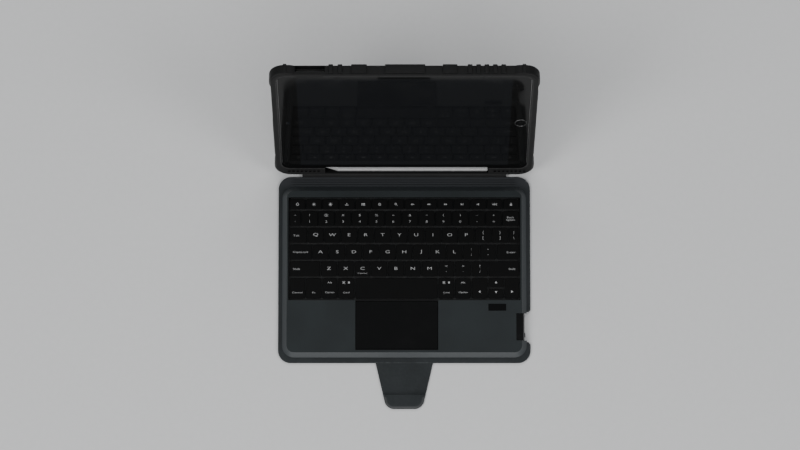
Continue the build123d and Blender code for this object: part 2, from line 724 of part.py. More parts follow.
    # seat for the hinge rail in the bottom edge
    with BuildSketch(lid.offset(-RAIL_FRONT_INSET)):
        Rectangle(RAIL_LENGTH, RAIL_THICKNESS, align=(Align.CENTER, Align.MIN))
    extrude(amount=-RAIL_WIDTH, mode=Mode.SUBTRACT)
finish(bumper, "bumper")

plate_bottom = BAND_WIDTH + 0.1
plate_top = pocket_top - 0.1
camera_place = (-TABLET_WIDTH / 2 + CAMERA_INSET, tablet_top - CAMERA_INSET)

with BuildPart() as back_plate:
    with BuildSketch(lid.offset(plate_front)):
        with Locations((0, (plate_bottom + plate_top) / 2)):
            RectangleRounded(
                TABLET_WIDTH + 2 * TABLET_CLEARANCE - 0.2,
                plate_top - plate_bottom,
                TABLET_CORNER,
            )
        with Locations(camera_place):
            Circle(CAMERA_OPENING, mode=Mode.SUBTRACT)
    extrude(amount=-LID_THICKNESS - plate_front)
    with BuildSketch(lid.offset(recess_floor)):
        with Locations((0, (recess_bottom + recess_top) / 2)):
            Rectangle(2 * recess_left, recess_top - recess_bottom)
    extrude(amount=-LID_THICKNESS - recess_floor, mode=Mode.SUBTRACT)
    with BuildSketch(Plane(stand_hinge, x_dir=(0, 1, 0), z_dir=(1, 0, 0))):
        Circle(PIN_RADIUS)
    extrude(amount=recess_left + PIN_ANCHOR, both=True, mode=Mode.SUBTRACT)
finish(back_plate, "back_plate")

with BuildPart() as back_liner:
    with BuildSketch(lid.offset(plate_front)):
        with Locations((0, (plate_bottom + plate_top) / 2)):
            RectangleRounded(
                TABLET_WIDTH - 2, plate_top - plate_bottom - 2, TABLET_CORNER - 1
            )
        with Locations(camera_place):
            Circle(CAMERA_OPENING, mode=Mode.SUBTRACT)
    extrude(amount=LINER_THICKNESS)
finish(back_liner, "back_liner")

rail_middle = -RAIL_FRONT_INSET - RAIL_WIDTH / 2
magnet_front = rail_middle + MAGNET_WIDTH / 2
with BuildPart() as hinge_rail:
    with BuildSketch(lid.offset(-RAIL_FRONT_INSET)):
        Rectangle(RAIL_LENGTH, RAIL_THICKNESS, align=(Align.CENTER, Align.MIN))
    extrude(amount=-RAIL_WIDTH)
    with BuildSketch(lid.offset(magnet_front)):
        with Locations((0, RAIL_THICKNESS - MAGNET_THICKNESS / 2)):
            with GridLocations(MAGNET_PITCH, 1, MAGNET_COUNT, 1):
                Rectangle(MAGNET_LENGTH, MAGNET_THICKNESS)
    extrude(amount=-MAGNET_WIDTH, mode=Mode.SUBTRACT)
finish(hinge_rail, "hinge_rail")

with BuildPart() as rail_magnets:
    with BuildSketch(lid.offset(magnet_front)):
        with Locations((0, RAIL_THICKNESS - MAGNET_THICKNESS / 2)):
            with GridLocations(MAGNET_PITCH, 1, MAGNET_COUNT, 1):
                Rectangle(MAGNET_LENGTH, MAGNET_THICKNESS)
    extrude(amount=-MAGNET_WIDTH)
finish(rail_magnets, "rail_magnets")

# ---------------------------------------------------------------- kickstand
# On the stand's own plane y runs from the foot up to the hinge and z out of the folded back.
half_leaf = STAND_THICKNESS / 2
with BuildPart() as kickstand:
    with BuildSketch(stand.offset(-half_leaf)):
        with Locations((0, 0)):
            Rectangle(STAND_WIDTH, STAND_LEG - STAND_FOOT, align=(Align.CENTER, Align.MAX))
        with Locations((0, -STAND_LEG + STAND_FOOT)):
            SlotOverall(34, 12, mode=Mode.SUBTRACT)
    extrude(amount=STAND_THICKNESS)
    with BuildSketch(Plane(stand_hinge, x_dir=(0, 1, 0), z_dir=(1, 0, 0))):
        Circle(half_leaf)
    extrude(amount=STAND_WIDTH / 2, both=True)
    with BuildSketch(Plane(stand_hinge, x_dir=(0, 1, 0), z_dir=(1, 0, 0))):
        Circle(PIN_RADIUS + PIN_RUNNING_GAP)
    extrude(amount=STAND_WIDTH / 2 + 1, both=True, mode=Mode.SUBTRACT)
finish(kickstand, "kickstand")

with BuildPart() as kickstand_foot:
    with BuildSketch(stand.offset(-half_leaf)):
        with Locations((0, -STAND_LEG)):
            Rectangle(STAND_WIDTH - 1, STAND_FOOT, align=(Align.CENTER, Align.MIN))
        with Locations((0, -STAND_LEG + STAND_FOOT)):
            SlotOverall(34, 12, mode=Mode.SUBTRACT)
    extrude(amount=STAND_THICKNESS)
finish(kickstand_foot, "kickstand_foot")

with BuildPart() as kickstand_pin:
    with BuildSketch(Plane(stand_hinge, x_dir=(0, 1, 0), z_dir=(1, 0, 0))):
        Circle(PIN_RADIUS)
    extrude(amount=recess_left + PIN_ANCHOR, both=True)
finish(kickstand_pin, "kickstand_pin")

# ================================================================ tablet
home_place = (TABLET_WIDTH / 2 - HOME_INSET, tablet_centre)
volume_level = -TABLET_SINK - TABLET_THICKNESS / 2 - 0.5
volume_places = [
    VOLUME_CENTRE_X - (VOLUME_LENGTH + VOLUME_GAP) / 2,
    VOLUME_CENTRE_X + (VOLUME_LENGTH + VOLUME_GAP) / 2,
]
top_edge = Plane(
    origin=lid.from_local_coords(Vector(0, tablet_top, volume_level)),
    x_dir=(1, 0, 0),
    z_dir=lid.y_dir,
)

with BuildPart() as tablet_housing:
    with BuildSketch(lid.offset(glass_back)):
        with Locations((0, tablet_centre)):
            RectangleRounded(TABLET_WIDTH, TABLET_LENGTH, TABLET_CORNER)
    extrude(amount=tablet_back - glass_back)
    fillet(tablet_housing.faces().sort_by(out)[0].edges(), radius=2.0)
    with BuildSketch(lid.offset(glass_back)):
        with Locations((0, tablet_centre)):
            RectangleRounded(
                TABLET_WIDTH - 2 * TABLET_WALL,
                TABLET_LENGTH - 2 * TABLET_WALL,
                TABLET_CORNER - TABLET_WALL,
            )
    extrude(amount=tablet_back - glass_back + 1.0, mode=Mode.SUBTRACT)
    with BuildSketch(top_edge):
        for x in volume_places:
            with Locations((x, 0)):
                SlotOverall(VOLUME_LENGTH + 0.4, VOLUME_WIDTH + 0.4)
    extrude(amount=-VOLUME_DEPTH - 0.2, mode=Mode.SUBTRACT)
    with BuildSketch(lid.offset(tablet_back)):
        with Locations(camera_place):
            Circle(CAMERA_RADIUS)
    extrude(amount=1.0, mode=Mode.SUBTRACT)
finish(tablet_housing, "tablet_housing")

with BuildPart() as tablet_glass:
    with BuildSketch(lid.offset(-TABLET_SINK)):
        with Locations((0, tablet_centre)):
            RectangleRounded(
                TABLET_WIDTH - 2 * GLASS_INSET,
                TABLET_LENGTH - 2 * GLASS_INSET,
                TABLET_CORNER - GLASS_INSET,
            )
        with Locations(home_place):
            Circle(HOME_RADIUS + 0.1, mode=Mode.SUBTRACT)
    extrude(amount=-GLASS_THICKNESS)
finish(tablet_glass, "tablet_glass")

core_gap = 0.2
core_front = glass_back - HOME_TRAVEL - core_gap
with BuildPart() as tablet_core:
    with BuildSketch(lid.offset(core_front)):
        with Locations((0, tablet_centre)):
            RectangleRounded(
                TABLET_WIDTH - 2 * TABLET_WALL - 2 * core_gap,
                TABLET_LENGTH - 2 * TABLET_WALL - 2 * core_gap,
                TABLET_CORNER - TABLET_WALL - core_gap,
            )
        with Locations(camera_place):
            Circle(CAMERA_RADIUS + core_gap, mode=Mode.SUBTRACT)
    extrude(amount=tablet_back + 1.0 + core_gap - core_front)
finish(tablet_core, "tablet_core")

with BuildPart() as tablet_camera:
    with BuildSketch(lid.offset(tablet_back - 0.4)):
        with Locations(camera_place):
            Circle(CAMERA_RADIUS)
    extrude(amount=1.4)
    with BuildSketch(lid.offset(tablet_back - 0.4)):
        with Locations(camera_place):
            Circle(CAMERA_RADIUS / 2)
    extrude(amount=0.3, mode=Mode.SUBTRACT)
finish(tablet_camera, "tablet_camera")

with BuildPart() as home_button:
    with BuildSketch(lid.offset(glass_back)):
        with Locations(home_place):
            Circle(HOME_RADIUS)
    extrude(amount=GLASS_THICKNESS - 0.1)
    with BuildSketch(lid.offset(-TABLET_SINK - 0.1)):
        with Locations(home_place):
            Circle(HOME_RADIUS - 0.8)
    extrude(amount=-0.15, mode=Mode.SUBTRACT)
finish(home_button, "home_button")

for name, x in zip(("volume_up_key", "volume_down_key"), volume_places):
    with BuildPart() as volume_key:
        with BuildSketch(top_edge.offset(-VOLUME_DEPTH + 0.4)):
            with Locations((x, 0)):
                SlotOverall(VOLUME_LENGTH, VOLUME_WIDTH)
        extrude(amount=VOLUME_DEPTH - 0.4 + VOLUME_PROUD)
    finish(volume_key, name)

# ================================================================ stylus
barrel = Plane(
    origin=lid.from_local_coords(Vector(0, stylus_height, stylus_level)),
    x_dir=(1, 0, 0),
    z_dir=lid.y_dir,
)
barrel_axis = Axis(barrel.origin, (1, 0, 0))
nib_start = STYLUS_LEFT_X + STYLUS_NIB
with BuildPart() as stylus_barrel:
    with BuildSketch(barrel):
        with BuildLine():
            Polyline(
                (nib_start, 0),
                (nib_start, STYLUS_NIB_RADIUS),
                (STYLUS_LEFT_X + STYLUS_TAPER, STYLUS_RADIUS),
                (STYLUS_RIGHT_X - 2, STYLUS_RADIUS),
            )
            RadiusArc(
                (STYLUS_RIGHT_X - 2, STYLUS_RADIUS),
                (STYLUS_RIGHT_X, STYLUS_RADIUS - 2),
                2,
            )
            Polyline((STYLUS_RIGHT_X, STYLUS_RADIUS - 2), (STYLUS_RIGHT_X, 0), (nib_start, 0))
        make_face()
    revolve(axis=barrel_axis)
finish(stylus_barrel, "stylus_barrel")

with BuildPart() as stylus_nib:
    with BuildSketch(barrel):
        with BuildLine():
            Polyline(
                (nib_start, 0),
                (nib_start, STYLUS_NIB_RADIUS),
                (STYLUS_LEFT_X, STYLUS_NIB_RADIUS / 3),
                (STYLUS_LEFT_X, 0),
                close=True,
            )
        make_face()
    revolve(axis=barrel_axis)
finish(stylus_nib, "stylus_nib")

# ================================================================ strap
strap_start = strap_axis_y - FOLD_GAP
strap_end = tab_axis_y + FOLD_GAP
tab_start = tab_axis_y - FOLD_GAP
with BuildPart() as closure_strap:
    with BuildSketch(Plane.XY):
        with BuildLine():
            Polyline(
                (-strap_half_width(strap_start), strap_start),
                (strap_half_width(strap_start), strap_start),
                (strap_half_width(strap_end), strap_end),
                (-strap_half_width(strap_end), strap_end),
                close=True,
            )
        make_face()
    extrude(amount=STRAP_THICKNESS)
finish(closure_strap, "closure_strap")

with BuildPart() as strap_tab:
    with BuildSketch(Plane.XY):
        with BuildLine():
            Polyline(
                (-strap_half_width(tab_start), tab_start),
                (strap_half_width(tab_start), tab_start),
                (STRAP_TIP_WIDTH / 2, strap_tip),
                (-STRAP_TIP_WIDTH / 2, strap_tip),
                close=True,
            )
        make_face()
        fillet(vertices().group_by(Axis.Y)[0], radius=STRAP_CORNER)
    extrude(amount=STRAP_THICKNESS)
finish(strap_tab, "strap_tab")

pad_front = strap_tip + PAD_INSET
pad_rear = pad_front + PAD_DEPTH
pad_centre_y = (pad_front + pad_rear) / 2
with BuildPart() as strap_pad:
    with BuildSketch(Plane.XY.offset(STRAP_THICKNESS)):
        with BuildLine():
            Polyline(
                (-strap_half_width(pad_rear) + PAD_INSET, pad_rear),
                (strap_half_width(pad_rear) - PAD_INSET, pad_rear),
                (STRAP_TIP_WIDTH / 2 - PAD_INSET, pad_front),
                (-STRAP_TIP_WIDTH / 2 + PAD_INSET, pad_front),
                close=True,
            )
        make_face()
        fillet(vertices().group_by(Axis.Y)[0], radius=STRAP_CORNER - PAD_INSET)
    extrude(amount=PAD_HEIGHT)
    chamfer(strap_pad.faces().sort_by(Axis.Z)[-1].edges(), length=0.6)
    with BuildSketch(Plane.XY.offset(STRAP_THICKNESS)):
        with Locations((0, pad_centre_y)):
            Rectangle(PAD_MAGNET_LENGTH, PAD_MAGNET_WIDTH)
    extrude(amount=PAD_MAGNET_THICKNESS, mode=Mode.SUBTRACT)
finish(strap_pad, "strap_pad")

with BuildPart() as strap_magnet:
    with BuildSketch(Plane.XY.offset(STRAP_THICKNESS)):
        with Locations((0, pad_centre_y)):
            Rectangle(PAD_MAGNET_LENGTH, PAD_MAGNET_WIDTH)
    extrude(amount=PAD_MAGNET_THICKNESS)
finish(strap_magnet, "strap_magnet")

# ---------------------------------------------------------------- joints and export
hinge_span = radians(180 - LID_TILT)
closed_edge = Vector(0, deck_rear - HINGE_SET_IN, panel_top + LID_CLOSED_GAP)
swing = closed_edge - lid_origin
half_turn_tangent = 2 * sin(hinge_span / 2) / cos(hinge_span / 2)
hinge_point = (lid_origin + closed_edge) * 0.5 + Vector(0, -swing.Z, swing.Y) * (
    1 / half_turn_tangent
)
print("lid hinge", hinge_point, "closes", 180 - LID_TILT)
print("kickstand hinge", stand_hinge, "open", stand_open)
print("strap axis", strap_axis_y, strap_axis_z, "tab axis", tab_axis_y, strap_axis_z)
print("lid out", lid.z_dir, "up", lid.y_dir)

for piece in pieces:
    export_step(piece, f"parts/{piece.label}.step")
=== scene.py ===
from functools import reduce
from math import cos, pi, radians, sin

import bmesh
import bpy
from mathutils import Matrix, Vector


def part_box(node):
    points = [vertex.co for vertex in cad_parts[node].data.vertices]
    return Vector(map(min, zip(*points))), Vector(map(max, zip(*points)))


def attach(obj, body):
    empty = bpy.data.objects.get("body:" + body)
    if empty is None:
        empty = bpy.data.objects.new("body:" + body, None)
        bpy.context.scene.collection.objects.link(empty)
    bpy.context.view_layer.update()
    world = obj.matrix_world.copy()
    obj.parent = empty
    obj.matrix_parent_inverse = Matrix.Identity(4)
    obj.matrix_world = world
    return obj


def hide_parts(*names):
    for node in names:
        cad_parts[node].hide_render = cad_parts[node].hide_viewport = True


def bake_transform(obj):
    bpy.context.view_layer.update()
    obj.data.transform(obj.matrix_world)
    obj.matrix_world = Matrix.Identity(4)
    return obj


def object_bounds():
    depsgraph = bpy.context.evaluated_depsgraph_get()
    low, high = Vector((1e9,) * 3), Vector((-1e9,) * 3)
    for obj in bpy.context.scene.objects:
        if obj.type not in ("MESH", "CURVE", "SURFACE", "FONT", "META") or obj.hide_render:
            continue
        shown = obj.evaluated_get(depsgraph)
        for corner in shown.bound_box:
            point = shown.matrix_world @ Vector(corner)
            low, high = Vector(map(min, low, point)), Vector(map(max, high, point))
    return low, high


# Tablet keyboard case. Everything is in metres, in the case's own frame: X right, Y back,
# Z up, with the origin in the middle of the deck's underside.

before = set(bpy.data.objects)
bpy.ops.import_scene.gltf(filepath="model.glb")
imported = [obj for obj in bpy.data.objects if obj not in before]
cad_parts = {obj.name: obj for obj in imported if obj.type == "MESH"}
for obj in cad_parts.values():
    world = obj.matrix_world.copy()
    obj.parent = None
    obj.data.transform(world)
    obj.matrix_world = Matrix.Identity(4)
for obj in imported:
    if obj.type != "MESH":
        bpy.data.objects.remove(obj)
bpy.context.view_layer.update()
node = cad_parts
MM = 0.001

DECK_HALF = (129.5 * MM, 96.0 * MM)
DECK_CORNER = 13.0 * MM
PANEL_TOP = 7.5 * MM
KEY_WELL = ((0, 21.3 * MM), (119.15 * MM, 52.95 * MM))
PAD_WELL = ((-7.7 * MM, -57 * MM), (42.5 * MM, 26.0 * MM))
HINGE_GROOVES = (88.4 * MM, 90.9 * MM, 93.2 * MM)
CAP_RIM = (6.96 * MM, 6.8 * MM)

# The shell leans back from an edge that runs along X behind the deck.
TILT = radians(65)
SHELL_EDGE = Vector((0, 97.6 * MM, 7.0 * MM))
SHELL = Matrix.Translation(SHELL_EDGE) @ Matrix.Rotation(TILT, 4, "X")
DISPLAY = ((0, 97.96 * MM), (106 * MM, 80 * MM))
SCREEN_OPENING = ((0, 97.7 * MM), (125.5 * MM, 84.8 * MM), 9 * MM)

# The strap tapers straight from its root at the deck to its rounded tip.
strap_low, strap_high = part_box("closure_strap")
tab_low, tab_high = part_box("strap_tab")
pad_low, pad_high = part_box("strap_pad")
STRAP_TIP_HALF = 18.4 * MM
STRAP_TIP_RADIUS = 8.0 * MM
STRAP_TAPER = (strap_high.x - STRAP_TIP_HALF) / (strap_high.y - tab_low.y)

# Leather that bends is textured on a flat map, with this many units in a metre.
MAP_SCALE = 10.0


def strap_half_width(y):
    """Half the strap's width, running straight from its root to its tip."""
    return (y - tab_low.y) * STRAP_TAPER + STRAP_TIP_HALF


# ================================================================ shader maths
class Field:
    """One output of a shader node, so that shader maths reads as plain sums."""

    def __init__(self, finish, socket):
        self.finish = finish
        self.socket = socket

    def math(self, operation, first, *others):
        values = dict(enumerate((first, *others)))
        return self.finish.make("ShaderNodeMath", {"operation": operation}, values)

    def __add__(self, other):
        return self.math("ADD", self, other)

    def __sub__(self, other):
        return self.math("SUBTRACT", self, other)

    def __rsub__(self, other):
        return self.math("SUBTRACT", other, self)

    def __mul__(self, other):
        return self.math("MULTIPLY", self, other)

    def __abs__(self):
        return self.math("ABSOLUTE", self)

    __radd__ = __add__
    __rmul__ = __mul__

    def most(self, other):
        return self.math("MAXIMUM", self, other)

    def under(self, edge):
        return self.math("LESS_THAN", self, edge)

    def root(self):
        return self.math("SQRT", self)

    def rise(self, start, end):
        """0 at start, 1 at end, and smooth between them; end may be the smaller one."""
        limits = {"Value": self, "From Min": start, "From Max": end}
        return self.finish.make(
            "ShaderNodeMapRange", {"interpolation_type": "SMOOTHSTEP"}, limits
        )


class Finish:
    """A surface finish: one material, with the nodes that vary it over the surface."""

    def __init__(self, name, coordinates="Object", **plain):
        self.material = bpy.data.materials.new(name)
        self.material.use_nodes = True
        self.tree = self.material.node_tree
        self.shader = self.tree.nodes["Principled BSDF"]
        for setting, value in plain.items():
            self.shader.inputs[setting.replace("_", " ")].default_value = value
        self.place = self.make("ShaderNodeTexCoord", {}, {}, coordinates)

    def make(self, kind, settings, values, output=0):
        """A node of that type, with its settings made before its sockets are fed."""
        made = self.tree.nodes.new(kind)
        for setting, value in settings.items():
            setattr(made, setting, value)
        for socket, value in values.items():
            self.feed(made.inputs[socket], value)
        return Field(self, made.outputs[output])

    def feed(self, socket, value):
        if isinstance(value, Field):
            self.tree.links.new(value.socket, socket)
        else:
            socket.default_value = value

    def axes(self):
        """The three coordinates, each on its own."""
        spread = {"Vector": self.place}
        return [self.make("ShaderNodeSeparateXYZ", {}, spread, axis) for axis in "XYZ"]

    def shell_axes(self):
        """Across the shell, up its slope from its edge, and out of its face."""
        across, back, up = self.axes()
        back = back - SHELL_EDGE.y
        up = up - SHELL_EDGE.z
        climb = back * cos(TILT) + up * sin(TILT)
        depth = up * cos(TILT) - back * sin(TILT)
        return across, climb, depth

    def stretched(self, x, y, z):
        return self.make(
            "ShaderNodeVectorMath", {"operation": "MULTIPLY"}, {0: self.place, 1: (x, y, z)}
        )

    def cloud(self, size, detail=3.0, coarse=0.5, where=None):
        """Soft noise whose lumps are about that size in metres."""
        values = {
            "Vector": where or self.place,
            "Scale": 1 / size,
            "Detail": detail,
            "Roughness": coarse,
        }
        return self.make("ShaderNodeTexNoise", {}, values)

    def pebbles(self, size):
        """Rounded cells of about that size in metres, high at their edges."""
        values = {"Vector": self.place, "Scale": 1 / size}
        return self.make("ShaderNodeTexVoronoi", {"feature": "F1"}, values)

    def blend(self, mask, dark, light):
        values = {0: mask, 6: dark, 7: light}
        return self.make("ShaderNodeMix", {"data_type": "RGBA"}, values, 2)

    def colour(self, value):
        self.feed(self.shader.inputs["Base Color"], value)

    def roughness(self, value):
        self.feed(self.shader.inputs["Roughness"], value)

    def relief(self, height, depth, strength=1.0):
        """Bump of that depth in metres from a height of 0 to 1."""
        values = {"Height": height, "Distance": depth, "Strength": strength}
        bumped = self.make("ShaderNodeBump", {}, values)
        self.feed(self.shader.inputs["Normal"], bumped)


def grey(level, warm=0.0):
    """A near-neutral colour; warm above 0 leans to red, below 0 to blue."""
    return (level * (1 + warm), level, level * (1 - warm), 1.0)


def outside(centre, half, corner, axes):
    """Distance outside a rounded rectangle that lies flat, in metres."""
    across = (abs(axes[0] - centre[0]) - (half[0] - corner)).most(0.0)
    along = (abs(axes[1] - centre[1]) - (half[1] - corner)).most(0.0)
    return (across * across + along * along).root() - corner


def within(centre, half, axes):
    """1 inside a flat rectangle, 0 outside it."""
    return abs(axes[0] - centre[0]).under(half[0]) * abs(axes[1] - centre[1]).under(half[1])


# ================================================================ finishes
SLATE_DARK = (0.0125, 0.0150, 0.0162, 1.0)
SLATE_LIGHT = (0.0200, 0.0232, 0.0250, 1.0)


def leather(name, coordinates="Object", shrink=1.0):
    """Coated leather: pebbled grain, fine creases, slow patches of tone."""
    finish = Finish(
        name,
        coordinates,
        Specular_IOR_Level=0.24,
        Sheen_Weight=0.03,
        Sheen_Roughness=0.4,
    )
    grain = finish.pebbles(0.9 * MM * shrink)
    crease = finish.cloud(3.2 * MM * shrink, 6.0, 0.62)
    patch = finish.cloud(38 * MM * shrink, 3.0)
    tone = (patch * 0.55 + crease * 0.45).rise(0.32, 0.68)
    finish.roughness(0.5 + crease * 0.14 + grain * 0.08)
    return finish, grain, crease, tone


def cover_leather():
    """The deck's leather: pressed grooves darkened with painted shade, paler near the hinge with
    painted light against the shell's shadow, and an edge with wear.
    """
    finish, grain, crease, tone = leather("cover_leather")
    axes = finish.axes()
    edge = outside((0, 0), DECK_HALF, DECK_CORNER, axes)
    edge_patches = edge.rise(-1.6 * MM, 0) * crease.rise(0.42, 0.66)
    lines = [abs(axes[1] - place).rise(0.75 * MM, 0.1 * MM) for place in HINGE_GROOVES]
    grooves = reduce(Field.most, lines) * abs(axes[0]).rise(118 * MM, 112 * MM)
    shade = finish.blend(tone, SLATE_DARK, SLATE_LIGHT)
    # Painted light: the leather is made paler towards the hinge, where the shell casts its shadow.
    painted_light_by_hinge = axes[1].rise(82 * MM, 90 * MM) * 0.8
    shade = finish.blend(painted_light_by_hinge, shade, (0.032, 0.034, 0.038, 1.0))
    # Painted shade: the pressed grooves are darkened as well as sunk.
    shade = finish.blend(grooves * 0.5, shade, grey(0.006))
    finish.colour(finish.blend(edge_patches * 0.45, shade, (0.050, 0.056, 0.059, 1.0)))
    finish.relief(grain * 0.2 + crease * 0.16 - grooves, 0.25 * MM)
    return finish


def spine_leather():
    """The leather of the hinge, darker with painted shade for the gap under the shell, with the
    plain grain.
    """
    finish, grain, crease, tone = leather("spine_leather", "UV", MAP_SCALE)
    # Painted shade: this leather is made darker to stand for the shadowed gap between deck and
    # shell.
    finish.colour(finish.blend(tone, grey(0.008), grey(0.014)))
    finish.relief(grain * 0.55 + crease * 0.45, 0.09 * MM)
    return finish


def strap_leather():
    """The strap's leather, with a paler rim round its padded tip: a painted highlight on the pad's
    bevel.
    """
    finish, grain, crease, tone = leather("strap_leather", "UV", MAP_SCALE)
    across, along = [axis * (1 / MAP_SCALE) for axis in finish.axes()[:2]]
    side = strap_half_width(along) - abs(across)
    tip = along - (tab_low.y + 2.6 * MM)
    from_side = (STRAP_TIP_RADIUS - side).most(0.0)
    from_tip = (STRAP_TIP_RADIUS - tip).most(0.0)
    inward = STRAP_TIP_RADIUS - (from_side * from_side + from_tip * from_tip).root()
    # Painted highlight: the rim round the padded tip is made paler.
    rim = inward.rise(4.0 * MM, 2.6 * MM) * along.under(pad_high.y - 0.4 * MM)
    shade = finish.blend(tone, SLATE_DARK, SLATE_LIGHT)
    finish.colour(finish.blend(rim, shade, (0.040, 0.042, 0.044, 1.0)))
    finish.relief(grain * 0.55 + crease * 0.45, 0.09 * MM)
    return finish


def panel_plastic():
    """The deck's moulded frame: fine spark texture, a smoother bevel made paler with a painted
    highlight, a brighter painted highlight along its ridge, a dark key well.
    """
    finish = Finish("panel_plastic", Specular_IOR_Level=0.22, Coat_Roughness=0.35)
    axes = finish.axes()
    spark = finish.cloud(0.55 * MM, 2.0, 0.6)
    patch = finish.cloud(46 * MM, 3.0)
    slope = axes[2].rise(PANEL_TOP + 0.06 * MM, PANEL_TOP - 0.06 * MM)
    ridge = axes[2].rise(PANEL_TOP - 0.8 * MM, PANEL_TOP - 0.1 * MM) * slope
    inside = within(*KEY_WELL, axes).most(within(*PAD_WELL, axes))
    shade = finish.blend(
        patch.rise(0.3, 0.7), (0.0155, 0.0190, 0.0202, 1.0), (0.0195, 0.0235, 0.0250, 1.0)
    )
    # Painted highlight: the bevel is made paler, and the top of its ridge paler still.
    shade = finish.blend(slope * 0.85, shade, (0.043, 0.048, 0.051, 1.0))
    shade = finish.blend(ridge * spark.rise(0.35, 0.7) * 0.5, shade, (0.105, 0.112, 0.116, 1.0))
    finish.colour(finish.blend(inside, shade, grey(0.003)))
    finish.roughness(0.5 - slope * 0.2 + (spark - 0.5) * 0.16)
    finish.feed(finish.shader.inputs["Coat Weight"], slope * 0.12)
    finish.relief(spark, 0.03 * MM, 0.7)
    return finish


def key_plastic():
    """Black caps: fine moulded texture with a slight finger shine, and sides made paler with a
    painted highlight.
    """
    finish = Finish("key_plastic", Specular_IOR_Level=0.12)
    spark = finish.cloud(0.35 * MM, 2.0, 0.7)
    shine = finish.cloud(14 * MM, 2.0)
    # Painted highlight: the sides of the caps, below their tops, are made paler.
    rim = finish.axes()[2].rise(*CAP_RIM)
    finish.colour(finish.blend(rim * 0.6 + spark * 0.2, grey(0.0012), grey(0.006)))
    finish.roughness(0.42 + spark * 0.12 + shine * 0.12)
    finish.relief(spark, 0.02 * MM, 0.6)
    return finish


def ink():
    """The printed marks on the keys: pale grey, a little speckled."""
    finish = Finish("legend_ink")
    speck = finish.cloud(0.3 * MM, 3.0)
    finish.colour(finish.blend(speck.rise(0.35, 0.65), grey(0.34), grey(0.46)))
    finish.roughness(0.45 + speck * 0.2)
    return finish


def smeared(name, smear, rough, bend):
    """A glossy surface with finger smears in its shine; bend is its refractive index."""
    finish = Finish(name, IOR=bend)
    smudge = finish.cloud(smear, 5.0, 0.6)
    finish.roughness(rough + smudge.rise(0.4, 0.75) * 0.1)
    return finish


def gloss_plastic(name, base, smear=18 * MM, rough=0.1, bend=1.5):
    """Glossy plastic or glass of one colour, with specks of dust."""
    finish = smeared(name, smear, rough, bend)
    dust = finish.cloud(0.7 * MM, 2.0)
    finish.colour(finish.blend(dust.rise(0.66, 0.78) * 0.5, base, grey(base[1] + 0.012)))
    return finish


def port_plastic():
    """The port block: gloss black, with a painted highlight along its edge that carries the
    bevel's line on.
    """
    finish = smeared("port_gloss", 9 * MM, 0.2, 1.4)
    # Painted highlight: a thin bright line along the block's outer edge.
    edge = finish.axes()[0].rise(121.7 * MM, 122.1 * MM)
    grain = finish.cloud(0.6 * MM, 3.0)
    bright = finish.blend(grain, grey(0.05), grey(0.08))
    finish.colour(finish.blend(edge, grey(0.003), bright))
    return finish


def screen_glass():
    """The tablet's front, coated against glare: a black border round a cooler display."""
    finish = Finish("screen_glass", IOR=1.28)
    smudge = finish.cloud(24 * MM, 5.0, 0.6)
    display = within(*DISPLAY, finish.shell_axes())
    finish.colour(finish.blend(display, grey(0.0035), (0.0062, 0.0066, 0.0074, 1.0)))
    finish.roughness(0.045 + smudge.rise(0.45, 0.8) * 0.07)
    return finish


def stippled(name):
    """Soft matt rubber with a fine stipple, and a field for its dust."""
    finish = Finish(name, Specular_IOR_Level=0.2)
    stipple = finish.pebbles(0.6 * MM)
    dust = finish.cloud(9 * MM, 6.0, 0.65)
    finish.roughness(0.5 + dust * 0.16 + stipple * 0.08)
    finish.relief(stipple, 0.035 * MM, 0.8)
    return finish, dust


def foot_rubber():
    """The kickstand's foot: black and faintly dusty."""
    finish, dust = stippled("bumper_rubber")
    finish.colour(finish.blend(dust.rise(0.45, 0.8), grey(0.0032), grey(0.00672)))
    return finish


def surround_rubber():
    """The shell's surround: paler along its top and side edges and the lip round the screen, in
    patches: painted highlights.
    """
    finish, _ = stippled("surround_rubber")
    across, climb, depth = finish.shell_axes()
    edge_patches = finish.cloud(2.4 * MM, 4.0, 0.6).rise(0.25, 0.6)
    rear = climb.rise(185.4 * MM, 186.6 * MM) * depth.rise(-10.2 * MM, -11.2 * MM)
    flank = abs(across).rise(130.8 * MM, 131.7 * MM)
    rim = outside(*SCREEN_OPENING, (across, climb))
    lip = abs(rim - 0.6 * MM).rise(0.9 * MM, 0.2 * MM) * depth.rise(-1.4 * MM, -0.5 * MM)
    # Painted highlights: the rear top edge, the flanks and the lip round the screen are made
    # paler, in patches.
    edges = rear.most(flank * 0.55).most(lip * 0.3) * edge_patches
    finish.colour(finish.blend(edges, grey(0.0042), grey(0.075)))
    return finish


def moulded(name, colour, rough=0.5, texture=0.5 * MM, depth=0.02 * MM):
    """Plain moulded plastic or silicone, never quite even."""
    finish = Finish(name)
    spark = finish.cloud(texture, 3.0, 0.6)
    patch = finish.cloud(20 * MM, 3.0)
    lighter = tuple(min(1.0, part * 1.22 + 0.002) for part in colour[:3]) + (1.0,)
    finish.colour(finish.blend((patch * 0.6 + spark * 0.4).rise(0.35, 0.65), colour, lighter))
    finish.roughness(rough + (spark - 0.5) * 0.14)
    finish.relief(spark, depth, 0.7)
    return finish


def metal(name, colour, rough=0.3, along=(1, 1, 1), metallic=1.0):
    """Metal with a grain: along stretches the brush marks in one direction."""
    finish = Finish(name, Metallic=metallic)
    brushed = finish.cloud(0.4 * MM, 4.0, 0.7, finish.stretched(*along))
    patch = finish.cloud(30 * MM, 3.0)
    lighter = tuple(min(1.0, part * 1.25 + 0.004) for part in colour[:3]) + (1.0,)
    finish.colour(finish.blend((brushed * 0.7 + patch * 0.3).rise(0.35, 0.65), colour, lighter))
    finish.roughness(rough + (brushed - 0.5) * 0.2)
    finish.relief(brushed, 0.015 * MM, 0.5)
    return finish


